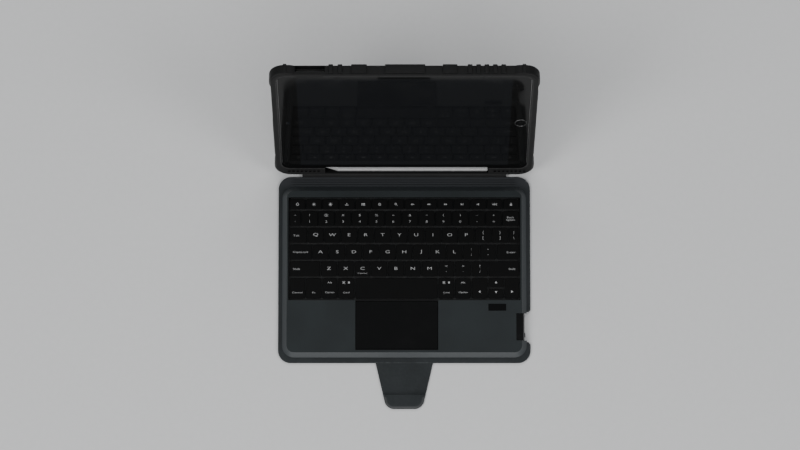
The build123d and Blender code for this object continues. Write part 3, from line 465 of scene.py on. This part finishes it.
def microfibre():
    """The soft lining behind the tablet: short fibres and slow nap patches."""
    finish = Finish("lining_microfibre", Sheen_Weight=0.4, Sheen_Roughness=0.5)
    fibre = finish.cloud(0.35 * MM, 5.0, 0.75)
    nap = finish.cloud(16 * MM, 3.0)
    finish.colour(finish.blend((fibre * 0.5 + nap * 0.5).rise(0.3, 0.7), grey(0.018), grey(0.05)))
    finish.roughness(0.82 + fibre * 0.12)
    finish.relief(fibre, 0.08 * MM)
    return finish


def circuit_board():
    """Green solder mask with faint copper tracks and plated pads."""
    finish = Finish("circuit_board", IOR=1.5)
    bands = {"Vector": finish.place, "Scale": 190.0, "Distortion": 2.5}
    track = finish.make("ShaderNodeTexWave", {"bands_direction": "X"}, bands, "Fac")
    pad = finish.pebbles(4 * MM).rise(0.2, 0.14)
    shade = finish.blend(track.rise(0.45, 0.6), (0.004, 0.05, 0.018, 1), (0.008, 0.085, 0.03, 1))
    finish.colour(finish.blend(pad, shade, (0.55, 0.5, 0.38, 1.0)))
    finish.roughness(0.32 + track * 0.1)
    finish.relief(track, 0.02 * MM)
    return finish


cover = cover_leather().material
panel = panel_plastic().material
caps = key_plastic().material
legend = ink().material
fabric = strap_leather().material
spine = spine_leather().material
surround = surround_rubber().material

finishes = {
    cover: ["base_cover", "hinge_gusset", "closure_strap", "strap_tab", "strap_pad"],
    panel: ["deck_panel"],
    caps: [
        "function_keys", "number_keys", "backspace_key", "tab_key", "upper_letter_keys",
        "caps_lock_key", "home_letter_keys", "enter_key", "left_shift_key",
        "lower_letter_keys", "right_shift_key", "modifier_keys", "space_bar",
        "arrow_left_key", "arrow_up_key", "arrow_down_key", "arrow_right_key",
    ],
    gloss_plastic("trackpad_gloss", grey(0.0032), 22 * MM, 0.16, 1.34).material: [
        "trackpad_plate",
    ],
    gloss_plastic("window_gloss", grey(0.002), 6 * MM, 0.06, 1.35).material: ["indicator_window"],
    port_plastic().material: ["port_block"],
    gloss_plastic("lens_gloss", grey(0.004), 4 * MM, 0.04).material: ["tablet_camera"],
    gloss_plastic("stylus_white", grey(0.25), 12 * MM, 0.24).material: ["stylus_barrel"],
    moulded("nib_white", grey(0.23), 0.4).material: ["stylus_nib"],
    screen_glass().material: ["tablet_glass"],
    foot_rubber().material: ["kickstand_foot"],
    surround: ["bumper"],
    moulded("shell_plastic", grey(0.010), 0.46).material: ["back_plate"],
    microfibre().material: ["back_liner"],
    metal("stand_metal", grey(0.045), 0.38, (0.06, 1, 1)).material: ["kickstand"],
    metal("steel", grey(0.5), 0.24, (0.1, 1, 1)).material: [
        "kickstand_pin", "board_screws", "charge_socket", "support_plate",
        "trackpad_bracket", "hinge_rail",
    ],
    metal("magnet_nickel", grey(0.42, 0.03), 0.3).material: ["rail_magnets", "strap_magnet"],
    metal("tablet_metal", grey(0.3), 0.34).material: ["tablet_housing"],
    metal("battery_foil", grey(0.36), 0.42, metallic=0.8).material: ["battery"],
    moulded("core_plastic", grey(0.05), 0.5).material: ["tablet_core"],
    gloss_plastic("home_button_black", grey(0.003), 5 * MM, 0.08, 1.28).material: ["home_button"],
    metal("volume_metal", grey(0.34), 0.3, (0.1, 1, 1)).material: [
        "volume_up_key", "volume_down_key",
    ],
    moulded("slider_plastic", grey(0.05), 0.4).material: ["power_slider"],
    moulded("plate_black", grey(0.012), 0.5).material: ["key_plate"],
    moulded("scissor_plastic", grey(0.55), 0.45).material: ["scissor_frames"],
    moulded("dome_silicone", grey(0.4, -0.04), 0.55, 1.5 * MM).material: ["dome_sheet"],
    moulded("membrane_film", (0.25, 0.32, 0.36, 1.0), 0.22, 3 * MM).material: ["membrane_sheet"],
    moulded("light_white", grey(0.7), 0.3).material: ["status_leds"],
    moulded("switch_black", grey(0.02), 0.4).material: ["trackpad_switch"],
    circuit_board().material: ["main_board", "trackpad_board"],
}
for material, names in finishes.items():
    for name in names:
        for holder in node[name].material_slots:
            holder.material = material


# ================================================================ mesh helpers
SHARP = radians(40)


def keep(shape, name, material, body=None, smooth=False):
    """Turn a bmesh into a piece at the origin, which may ride on a body."""
    bmesh.ops.recalc_face_normals(shape, faces=shape.faces)
    for edge in shape.edges:
        edge.smooth = edge.calc_face_angle(0) < SHARP
    mesh = bpy.data.meshes.new(name)
    shape.to_mesh(mesh)
    shape.free()
    mesh.materials.append(material)
    mesh.polygons.foreach_set("use_smooth", [smooth] * len(mesh.polygons))
    piece = bpy.data.objects.new(name, mesh)
    bpy.context.scene.collection.objects.link(piece)
    if body:
        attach(piece, body)
    return piece


def corners_of(geometry):
    return [part for part in geometry if isinstance(part, bmesh.types.BMVert)]


def join_in(shape, part, matrix):
    """Move a part to its place and add it to a shape."""
    bmesh.ops.transform(part, matrix=matrix, verts=part.verts)
    moved = bpy.data.meshes.new("part")
    part.to_mesh(moved)
    part.free()
    shape.from_mesh(moved)
    bpy.data.meshes.remove(moved)


def round_over(shape, edges, radius, steps):
    """Round those edges over, with that many faces round each."""
    bmesh.ops.bevel(
        shape,
        geom=edges,
        offset=radius,
        offset_type="OFFSET",
        segments=steps,
        profile=0.5,
        affect="EDGES",
        material=-1,
    )


def cut(shape, place, normal=(0, 1, 0), clear=False):
    """Cut a shape by a plane across it, clearing what lies past the plane if asked."""
    bmesh.ops.bisect_plane(
        shape,
        geom=shape.verts[:] + shape.edges[:] + shape.faces[:],
        plane_co=(0, place, 0),
        plane_no=normal,
        clear_outer=clear,
        dist=1e-7,
    )


def spun_ring(shape, profile, steps, matrix):
    """A closed ring, spun from a profile of (radius, height) points about its own Z."""
    turned = bmesh.new()
    points = [turned.verts.new((radius, 0, height)) for radius, height in profile]
    loop = [turned.edges.new((a, b)) for a, b in zip(points, points[1:] + points[:1])]
    bmesh.ops.spin(
        turned,
        geom=points + loop,
        cent=(0, 0, 0),
        axis=(0, 0, 1),
        angle=2 * pi,
        steps=steps,
        use_merge=True,
    )
    bmesh.ops.remove_doubles(turned, verts=turned.verts, dist=1e-7)
    join_in(shape, turned, matrix)


def rounded_bar(shape, size, radius, steps, matrix):
    """A bar with every edge rounded over; its size is in millimetres."""
    bar = bmesh.new()
    bmesh.ops.create_cube(bar, size=1)
    bmesh.ops.scale(bar, vec=[side * MM for side in size], verts=bar.verts)
    round_over(bar, bar.edges[:], radius * MM, steps)
    join_in(shape, bar, matrix)


def flat_map(piece):
    """Map the leather flat: across it, and then along and up it."""
    mesh = piece.data
    layer = mesh.uv_layers.new(name="flat")
    for loop in mesh.loops:
        spot = mesh.vertices[loop.vertex_index].co
        layer.data[loop.index].uv = (spot.x * MAP_SCALE, (spot.y + spot.z) * MAP_SCALE)


# ================================================================ key legends
INK = 0.03 * MM
LETTER_SIZE = 4.4
LETTER_WIDTH = 1.6
LETTER_THINNING = 0.006
KEY_GAP = 1.5 * MM


class Print:
    """The printed marks of one set of keys, gathered in one thin mesh on its caps.

    The places of marks are in metres, and their own sizes are in millimetres.
    """

    def __init__(self, name):
        self.name = name
        self.shape = bmesh.new()
        self.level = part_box(name)[1].z + INK / 4

    def put(self, part, x, y, turn=0.0):
        spot = Matrix.Translation((x, y, self.level)) @ Matrix.Rotation(radians(turn), 4, "Z")
        join_in(self.shape, part, spot)

    def bar(self, x, y, width, height, turn=0.0):
        part = bmesh.new()
        bmesh.ops.create_cube(part, size=1)
        bmesh.ops.scale(part, vec=(width * MM, height * MM, INK), verts=part.verts)
        self.put(part, x, y, turn)

    def dot(self, x, y, radius, sides=16, turn=0.0):
        part = bmesh.new()
        bmesh.ops.create_cone(
            part,
            cap_ends=True,
            segments=sides,
            radius1=radius * MM,
            radius2=radius * MM,
            depth=INK,
        )
        self.put(part, x, y, turn)

    def arrow(self, x, y, radius, turn):
        """A three-sided arrow head that points right before its turn."""
        self.dot(x, y, radius, 3, turn - 90)

    def hoop(self, x, y, radius, line=0.35):
        inner = (radius - line) * MM
        outer = radius * MM
        half = INK / 2
        profile = [(inner, -half), (outer, -half), (outer, half), (inner, half)]
        spot = Matrix.Translation((x, y, self.level))
        spun_ring(self.shape, profile, 20, spot)

    def word(self, text, x, y, size, wide=1.5, side=0):
        """Lettering centred on x, or with its left (-1) or right (1) end there."""
        face = bpy.data.curves.new("lettering", "FONT")
        face.body = text
        face.size = size * MM
        face.extrude = INK / 2
        face.resolution_u = 3
        face.offset = -size * MM * LETTER_THINNING
        holder = bpy.data.objects.new("lettering", face)
        mesh = bpy.data.meshes.new_from_object(holder)
        low = Vector([min(v.co[i] for v in mesh.vertices) for i in range(3)])
        high = Vector([max(v.co[i] for v in mesh.vertices) for i in range(3)])
        anchor = Vector(((low.x + high.x) / 2, (low.y + high.y) / 2, 0))
        if side:
            anchor.x = high.x if side > 0 else low.x
        mesh.transform(Matrix.Diagonal((wide, 1, 1, 1)) @ Matrix.Translation(-anchor))
        part = bmesh.new()
        part.from_mesh(mesh)
        self.put(part, x, y)
        bpy.data.objects.remove(holder)
        bpy.data.curves.remove(face)
        bpy.data.meshes.remove(mesh)

    def pair(self, upper, lower, x, y, size, wide, rise, drop):
        """Two marks on one key, one above the other."""
        self.word(upper, x, y + rise * MM, size, wide)
        self.word(lower, x, y - drop * MM, size, wide)

    def done(self):
        bmesh.ops.remove_doubles(self.shape, verts=self.shape.verts, dist=1e-6)
        keep(self.shape, self.name + "_legends", legend, self.name)


def key_places(name, widths):
    """The centres of a set's keys, from the box of the set and the keys' shares of it."""
    low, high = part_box(name)
    unit = (high.x - low.x + KEY_GAP) / sum(widths)
    left = low.x - KEY_GAP / 2
    places = []
    for width in widths:
        places.append((left + width * unit / 2, (low.y + high.y) / 2))
        left += width * unit
    return places


def function_mark(marks, index, x, y):
    """The small picture on one of the fourteen keys at the back."""
    if index == 0:
        marks.hoop(x, y, 1.45, 0.5)
        marks.bar(x, y + 1.5 * MM, 0.5, 1.3)
    elif index in (1, 2):
        marks.dot(x, y, 0.65 + 0.25 * index)
        reach = (1.2 + 0.3 * index) * MM
        for turn in range(0, 360, 45):
            around = radians(turn)
            marks.bar(x + cos(around) * reach, y + sin(around) * reach, 0.55, 0.35, turn)
    elif index == 3:
        marks.bar(x, y - 0.8 * MM, 3.6, 0.55)
        marks.arrow(x, y + 0.6 * MM, 0.9, 90)
    elif index == 4:
        for row in (-0.65, 0.65):
            for column in (-1.3, 0, 1.3):
                marks.bar(x + column * MM, y + row * MM, 1.0, 1.0)
    elif index == 5:
        marks.hoop(x, y, 1.5, 0.4)
        marks.bar(x, y, 2.8, 0.35)
        marks.bar(x, y, 0.35, 2.8)
    elif index == 6:
        marks.hoop(x - 0.4 * MM, y + 0.4 * MM, 1.05, 0.4)
        marks.bar(x + 0.8 * MM, y - 0.8 * MM, 1.5, 0.45, -45)
    elif index == 7:
        marks.arrow(x - 0.7 * MM, y, 1.15, 180)
        marks.bar(x + 0.9 * MM, y, 1.9, 0.6)
    elif index == 8:
        marks.arrow(x - 0.9 * MM, y, 1.1, 180)
        marks.arrow(x + 0.8 * MM, y, 1.1, 180)
    elif index == 9:
        marks.arrow(x - 0.8 * MM, y, 1.1, 0)
        marks.arrow(x + 0.9 * MM, y, 1.1, 0)
    elif index == 10:
        marks.arrow(x - 0.4 * MM, y, 1.25, 0)
        marks.bar(x + 1.3 * MM, y, 0.45, 2.1)
    elif index == 11:
        marks.bar(x - 0.9 * MM, y, 1.1, 1.1)
        marks.arrow(x + 0.1 * MM, y, 1.35, 180)
    elif index == 12:
        marks.bar(x - 1.7 * MM, y, 1.1, 1.1)
        marks.arrow(x - 0.7 * MM, y, 1.35, 180)
        for offset, height in ((0.7, 1.3), (1.4, 1.9), (2.1, 2.5)):
            marks.bar(x + offset * MM, y, 0.35, height)
    else:
        marks.hoop(x, y + 0.65 * MM, 0.85, 0.35)
        marks.bar(x, y - 0.5 * MM, 2.2, 1.7)


def letter_row(name, shares, letters, lift, stacked, size, wide, rise, drop):
    """One row of keys: single letters first, and then keys with two marks each."""
    marks = Print(name)
    places = key_places(name, shares)
    for letter, (x, y) in zip(letters, places):
        marks.word(letter, x, y + lift * MM, LETTER_SIZE, LETTER_WIDTH)
    for (upper, lower), (x, y) in zip(stacked, places[len(letters):]):
        marks.pair(upper, lower, x, y, size, wide, rise, drop)
    return marks


marks = Print("function_keys")
for index, (x, y) in enumerate(key_places("function_keys", [1] * 14)):
    function_mark(marks, index, x, y)
marks.done()

shares = [0.71] + [1] * 12
stacked = zip("~!@#$%^&*()_+", "`1234567890-=")
marks = letter_row("number_keys", shares, "", 0, stacked, 3.3, 1.35, 3.6, 2.9)
marks.done()

shares = [1] * 12 + [0.66]
stacked = zip("{}|", "[]\\")
marks = letter_row("upper_letter_keys", shares, "QWERTYUIOP", 0.7, stacked, 3.7, 1.3, 2.9, 2.6)
marks.done()

stacked = zip(":\"", ";'")
marks = letter_row("home_letter_keys", [1] * 11, "ASDFGHJKL", 0.5, stacked, 3.7, 1.3, 3.0, 2.6)
marks.done()

stacked = zip("<>?", ",./")
shares = [1] * 10
marks = letter_row("lower_letter_keys", shares, "ZXCVBNM", 0.7, stacked, 3.5, 1.3, 3.0, 2.6)
x, y = key_places("lower_letter_keys", shares)[2]
marks.word("Connect", x, y - 4.2 * MM, 1.9, 1.5)
marks.done()

marks = Print("modifier_keys")
modifiers = key_places("modifier_keys", [0.98, 0.98, 0.94, 1.03, 4.95, 1.0, 0.99])
modifier_words = {0: "Control", 1: "Fn", 2: "Option", 3: "Cmd", 5: "Cmd", 6: "Option"}
for place, text in modifier_words.items():
    marks.word(text, modifiers[place][0], modifiers[place][1] - 4.3 * MM, 2.3, 1.45)
for place in (2, 6):
    marks.word("Alt", modifiers[place][0], modifiers[place][1] + 6.0 * MM, 2.6, 1.5)
for place in (3, 5):
    x, y = modifiers[place]
    left = x - 2.6 * MM
    level = y + 6.0 * MM
    for side in (-1, 1):
        for end in (-1, 1):
            marks.hoop(left + side * 0.75 * MM, level + end * 0.75 * MM, 0.6, 0.25)
    marks.bar(left, level, 1.2, 1.2)
    marks.dot(x + 2.7 * MM, level, 1.3, 4, 45)
marks.done()

WORD_INSET = 3.3 * MM
WORD_LINE = 2.8 * MM
for name, lines, side, wide in (
    ("backspace_key", ["Back", "Space"], 0, 1.5),
    ("tab_key", ["Tab"], -1, 1.6),
    ("caps_lock_key", ["CapsLock"], 0, 1.5),
    ("enter_key", ["Enter"], 1, 1.55),
    ("left_shift_key", ["Shift"], -1, 1.55),
    ("right_shift_key", ["Shift"], 1, 1.55),
):
    marks = Print(name)
    low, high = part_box(name)
    x = (low.x + high.x) / 2
    if side < 0:
        x = low.x + WORD_INSET
    if side > 0:
        x = high.x - WORD_INSET
    y = (low.y + high.y) / 2 + (len(lines) - 1) * WORD_LINE / 2
    for line in lines:
        marks.word(line, x, y, 2.7, wide, side)
        y -= WORD_LINE
    marks.done()

for name, turn, lift in (
    ("arrow_left_key", 180, -3.4),
    ("arrow_up_key", 90, 0.4),
    ("arrow_down_key", 270, 2.0),
    ("arrow_right_key", 0, -3.4),
):
    marks = Print(name)
    low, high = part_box(name)
    marks.arrow((low.x + high.x) / 2, (low.y + high.y) / 2 + lift * MM, 1.5, turn)
    marks.done()

# ================================================================ strap
# The strap is one cut of leather, made twice over: each half has loops cut across its own
# fold, and they meet in the flat stretch between the folds.
cover_low, cover_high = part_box("base_cover")
meeting = (strap_low.y + strap_high.y) / 2
TUCK = 1.6 * MM
BEND_STEPS = 12
CUT_SPACING = 3 * MM


def leather_slab(rear, front, low, high, inset, tip_radius, edge_radius, edge_steps):
    """A slab of leather cut to the strap's taper, with a rounded tip and soft edges."""
    slab = bmesh.new()
    rear_half = strap_half_width(rear) - inset
    front_half = strap_half_width(front) - inset
    outline = [(-rear_half, rear), (-front_half, front), (front_half, front), (rear_half, rear)]
    face = slab.faces.new([slab.verts.new((x, y, low)) for x, y in outline])
    lifted = bmesh.ops.extrude_face_region(slab, geom=[face])
    bmesh.ops.translate(slab, vec=(0, 0, high - low), verts=corners_of(lifted["geom"]))
    posts = [
        edge
        for edge in slab.edges
        if abs(edge.verts[0].co.z - edge.verts[1].co.z) > 0.1 * MM
        and edge.verts[0].co.y < (rear + front) / 2
    ]
    round_over(slab, posts, tip_radius, 12)
    rim = [
        edge
        for edge in slab.edges
        if abs(edge.verts[0].co.z - edge.verts[1].co.z) < 0.01 * MM
        and edge.verts[0].co.z > (low + high) / 2
    ]
    round_over(slab, rim, edge_radius, edge_steps)
    return slab


def strap_half(name, facing, start, end, replaced):
    """The half of the strap on one side of the meeting line, with loops cut across its fold."""
    slab = leather_slab(
        cover_low.y + TUCK, tab_low.y, 0.0, strap_high.z, 0, STRAP_TIP_RADIUS, 0.55 * MM, 3
    )
    for step in range(-2, BEND_STEPS + 3):
        cut(slab, start + (end - start) * step / BEND_STEPS)
    for step in range(1, 16):
        cut(slab, cover_low.y - CUT_SPACING * step)
    cut(slab, meeting, (0, facing, 0), True)
    bmesh.ops.holes_fill(slab, edges=slab.edges, sides=0)
    piece = keep(slab, name, fabric, None, True)
    flat_map(piece)
    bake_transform(piece)
    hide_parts(replaced)


strap_half(
    "strap_root_leather",
    -1,
    cover_low.y + 0.1 * MM,
    strap_high.y - 0.5 * MM,
    "closure_strap",
)
strap_half(
    "strap_tip_leather",
    1,
    strap_low.y + 0.6 * MM,
    tab_high.y - 0.6 * MM,
    "strap_tab",
)

# The magnet pad on the strap's tip: a crowned patch with a raised middle.
pad = leather_slab(
    pad_high.y, pad_low.y, pad_low.z - 0.05 * MM, pad_high.z, 0.9 * MM, 7.1 * MM, 1.35 * MM, 5
)
crown = [face for face in pad.faces if face.normal.z > 0.99 and face.calc_area() > 1e-4]
bmesh.ops.inset_region(pad, faces=crown, thickness=2.2 * MM)
raised = list({corner for face in crown for corner in face.verts})
bmesh.ops.translate(pad, vec=(0, 0, 0.2 * MM), verts=raised)
pad_piece = keep(pad, "strap_pad_leather", fabric, "strap_tip", True)
flat_map(pad_piece)
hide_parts("strap_pad")

# ================================================================ hinge gusset
# A strip of the cover's leather, from inside the deck's back edge up to the shell.
gusset_low, gusset_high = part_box("hinge_gusset")
gusset_end = SHELL @ Vector((0, 0.3 * MM, -2.4 * MM))
gusset_steps = [(-1.2, 0.9), (-0.2, 1.0), (0.9, 1.6), (1.7, 3.0), (2.3, 4.6)]
gusset_path = [(cover_high.y + back * MM, up * MM) for back, up in gusset_steps]
gusset_path.append((gusset_end.y, gusset_end.z))
strip = bmesh.new()
for run in zip(gusset_path, gusset_path[1:]):
    strip.edges.new([strip.verts.new((gusset_low.x, y, z)) for y, z in run])
bmesh.ops.remove_doubles(strip, verts=strip.verts, dist=1e-7)
bmesh.ops.subdivide_edges(strip, edges=strip.edges[:], cuts=2, smooth=1.0)
pulled = bmesh.ops.extrude_edge_only(strip, edges=strip.edges[:])
bmesh.ops.translate(
    strip, vec=(gusset_high.x - gusset_low.x, 0, 0), verts=corners_of(pulled["geom"])
)
bmesh.ops.recalc_face_normals(strip, faces=strip.faces)
bmesh.ops.solidify(strip, geom=strip.faces[:], thickness=0.8 * MM)
gusset = keep(strip, "gusset_leather", spine, None, True)
flat_map(gusset)
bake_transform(gusset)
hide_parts("hinge_gusset")

# ================================================================ shell details
# The sizes and places of these are in millimetres, across the shell and up its slope.
RIB_FIRST = 37
RIB_PITCH = 4.7
RIB_SIZE = (1.3, 2.6, 7.0)
RIB_ACROSS = 131.35

side_ribs = bmesh.new()
for side, count in ((-1, 14), (1, 25)):
    for index in range(count):
        climb = (RIB_FIRST + index * RIB_PITCH) * MM
        spot = Matrix.Translation((side * RIB_ACROSS * MM, climb, -6.0 * MM))
        rounded_bar(side_ribs, RIB_SIZE, 0.5, 2, SHELL @ spot)
keep(side_ribs, "side_grip_ribs", surround, "lid", True)

# Soft pads, ribs and corner knuckles over the grips of the top edge: where each one is
# across the shell, and how wide it is.
GRIP_CLIMB = 187.5
KNUCKLE_CLIMB = 188.2
pads = [(0.5, 39.4), (-44.5, 15.4), (44.5, 14.4)]
ribs = [(across, 4.6) for across in (-72, -63, 64, 72.2, 80.4, 88.6, 96.8)]
knuckles = [(-117, 3.6), (117, 3.6)]
top_grips = bmesh.new()
for grips, climb in ((pads + ribs, GRIP_CLIMB), (knuckles, KNUCKLE_CLIMB)):
    for across, width in grips:
        spot = Matrix.Translation((across * MM, climb * MM, -6.4 * MM))
        rounded_bar(top_grips, (width, 2.0, 9.6), 0.7, 3, SHELL @ spot)
keep(top_grips, "top_grip_pads", surround, "lid", True)

# The home button's ring, and the lens at the other end of the glass.
GLASS_LEVEL = -0.8 * MM
home_low, home_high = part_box("home_button")
home_front = SHELL.inverted() @ ((home_low + home_high) / 2)


def on_glass(across, profile, steps):
    """A ring on the glass, from a profile of (radius, height) points in millimetres."""
    ring = bmesh.new()
    points = [(radius * MM, height * MM) for radius, height in profile]
    spot = Matrix.Translation((across, home_front.y, GLASS_LEVEL))
    spun_ring(ring, points, steps, SHELL @ spot)
    bmesh.ops.remove_doubles(ring, verts=ring.verts, dist=1e-7)
    return ring


ring_profile = [(5.62, -0.2), (5.62, 0.03), (5.75, 0.07), (5.95, 0.07), (6.05, 0.02), (6.05, -0.2)]
ring = on_glass(home_front.x, ring_profile, 48)
ring_metal = metal("ring_metal", grey(0.16), 0.22).material
keep(ring, "home_ring", ring_metal, "tablet")

lens_profile = [(0.0, -0.15), (1.7, -0.15), (1.7, 0.02), (1.2, 0.05), (0.0, 0.05)]
lens = on_glass(-home_front.x, lens_profile, 24)
lens_gloss = gloss_plastic("front_lens_gloss", (0.005, 0.006, 0.008, 1.0), 3 * MM, 0.03)
keep(lens, "front_lens", lens_gloss.material, "tablet", True)

# ================================================================ stage, camera and lights
FLOOR_SIZE = 6.0
FLOOR_GAP = 0.3 * MM
floor = bmesh.new()
bmesh.ops.create_grid(floor, x_segments=2, y_segments=2, size=FLOOR_SIZE)
bmesh.ops.translate(floor, vec=(0, 0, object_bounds()[0].z - FLOOR_GAP), verts=floor.verts)
floor_finish = Finish("floor_paper")
paper = floor_finish.cloud(6 * MM, 4.0)
floor_finish.colour(floor_finish.blend(paper, grey(0.62), grey(0.66)))
floor_finish.roughness(0.8 + paper * 0.1)
keep(floor, "floor", floor_finish.material)

sky = bpy.data.worlds.new("studio")
sky.use_nodes = True
backdrop = sky.node_tree.nodes["Background"]
backdrop.inputs["Color"].default_value = (0.9, 0.95, 1.0, 1.0)
backdrop.inputs["Strength"].default_value = 0.24
bpy.context.scene.world = sky


def softbox(name, place, target, width, height, power):
    """A large soft light, turned to face a point."""
    lamp = bpy.data.lights.new(name, "AREA")
    lamp.shape = "RECTANGLE"
    lamp.size = width
    lamp.size_y = height
    lamp.energy = power
    holder = bpy.data.objects.new(name, lamp)
    holder.location = place
    facing = Vector(target) - Vector(place)
    holder.rotation_euler = facing.to_track_quat("-Z", "Y").to_euler()
    bpy.context.scene.collection.objects.link(holder)


softbox("softbox_left", (-1.5, -0.5, 1.7), (0, 0, 0), 1.1, 1.1, 22)
softbox("softbox_right", (1.6, -0.4, 1.5), (0, 0, 0), 1.0, 1.0, 15)
softbox("softbox_front", (0, -1.5, 0.42), (0, 0, 0.02), 1.8, 0.6, 20)
softbox("softbox_back", (0, 1.5, 1.5), (0, 0.05, 0.1), 1.4, 0.6, 14)

CAMERA_DISTANCE = 3.0
CAMERA_RISE = radians(84.5)
aim = Vector((-4.4 * MM, 45.7 * MM, 7.6 * MM))
lens_data = bpy.data.cameras.new("camera")
lens_data.lens = 131.4
lens_data.sensor_width = 36.0
camera = bpy.data.objects.new("camera", lens_data)
camera.location = aim + CAMERA_DISTANCE * Vector((0, -cos(CAMERA_RISE), sin(CAMERA_RISE)))
camera.rotation_euler = (pi / 2 - CAMERA_RISE, 0, 0)
bpy.context.scene.collection.objects.link(camera)
bpy.context.scene.camera = camera
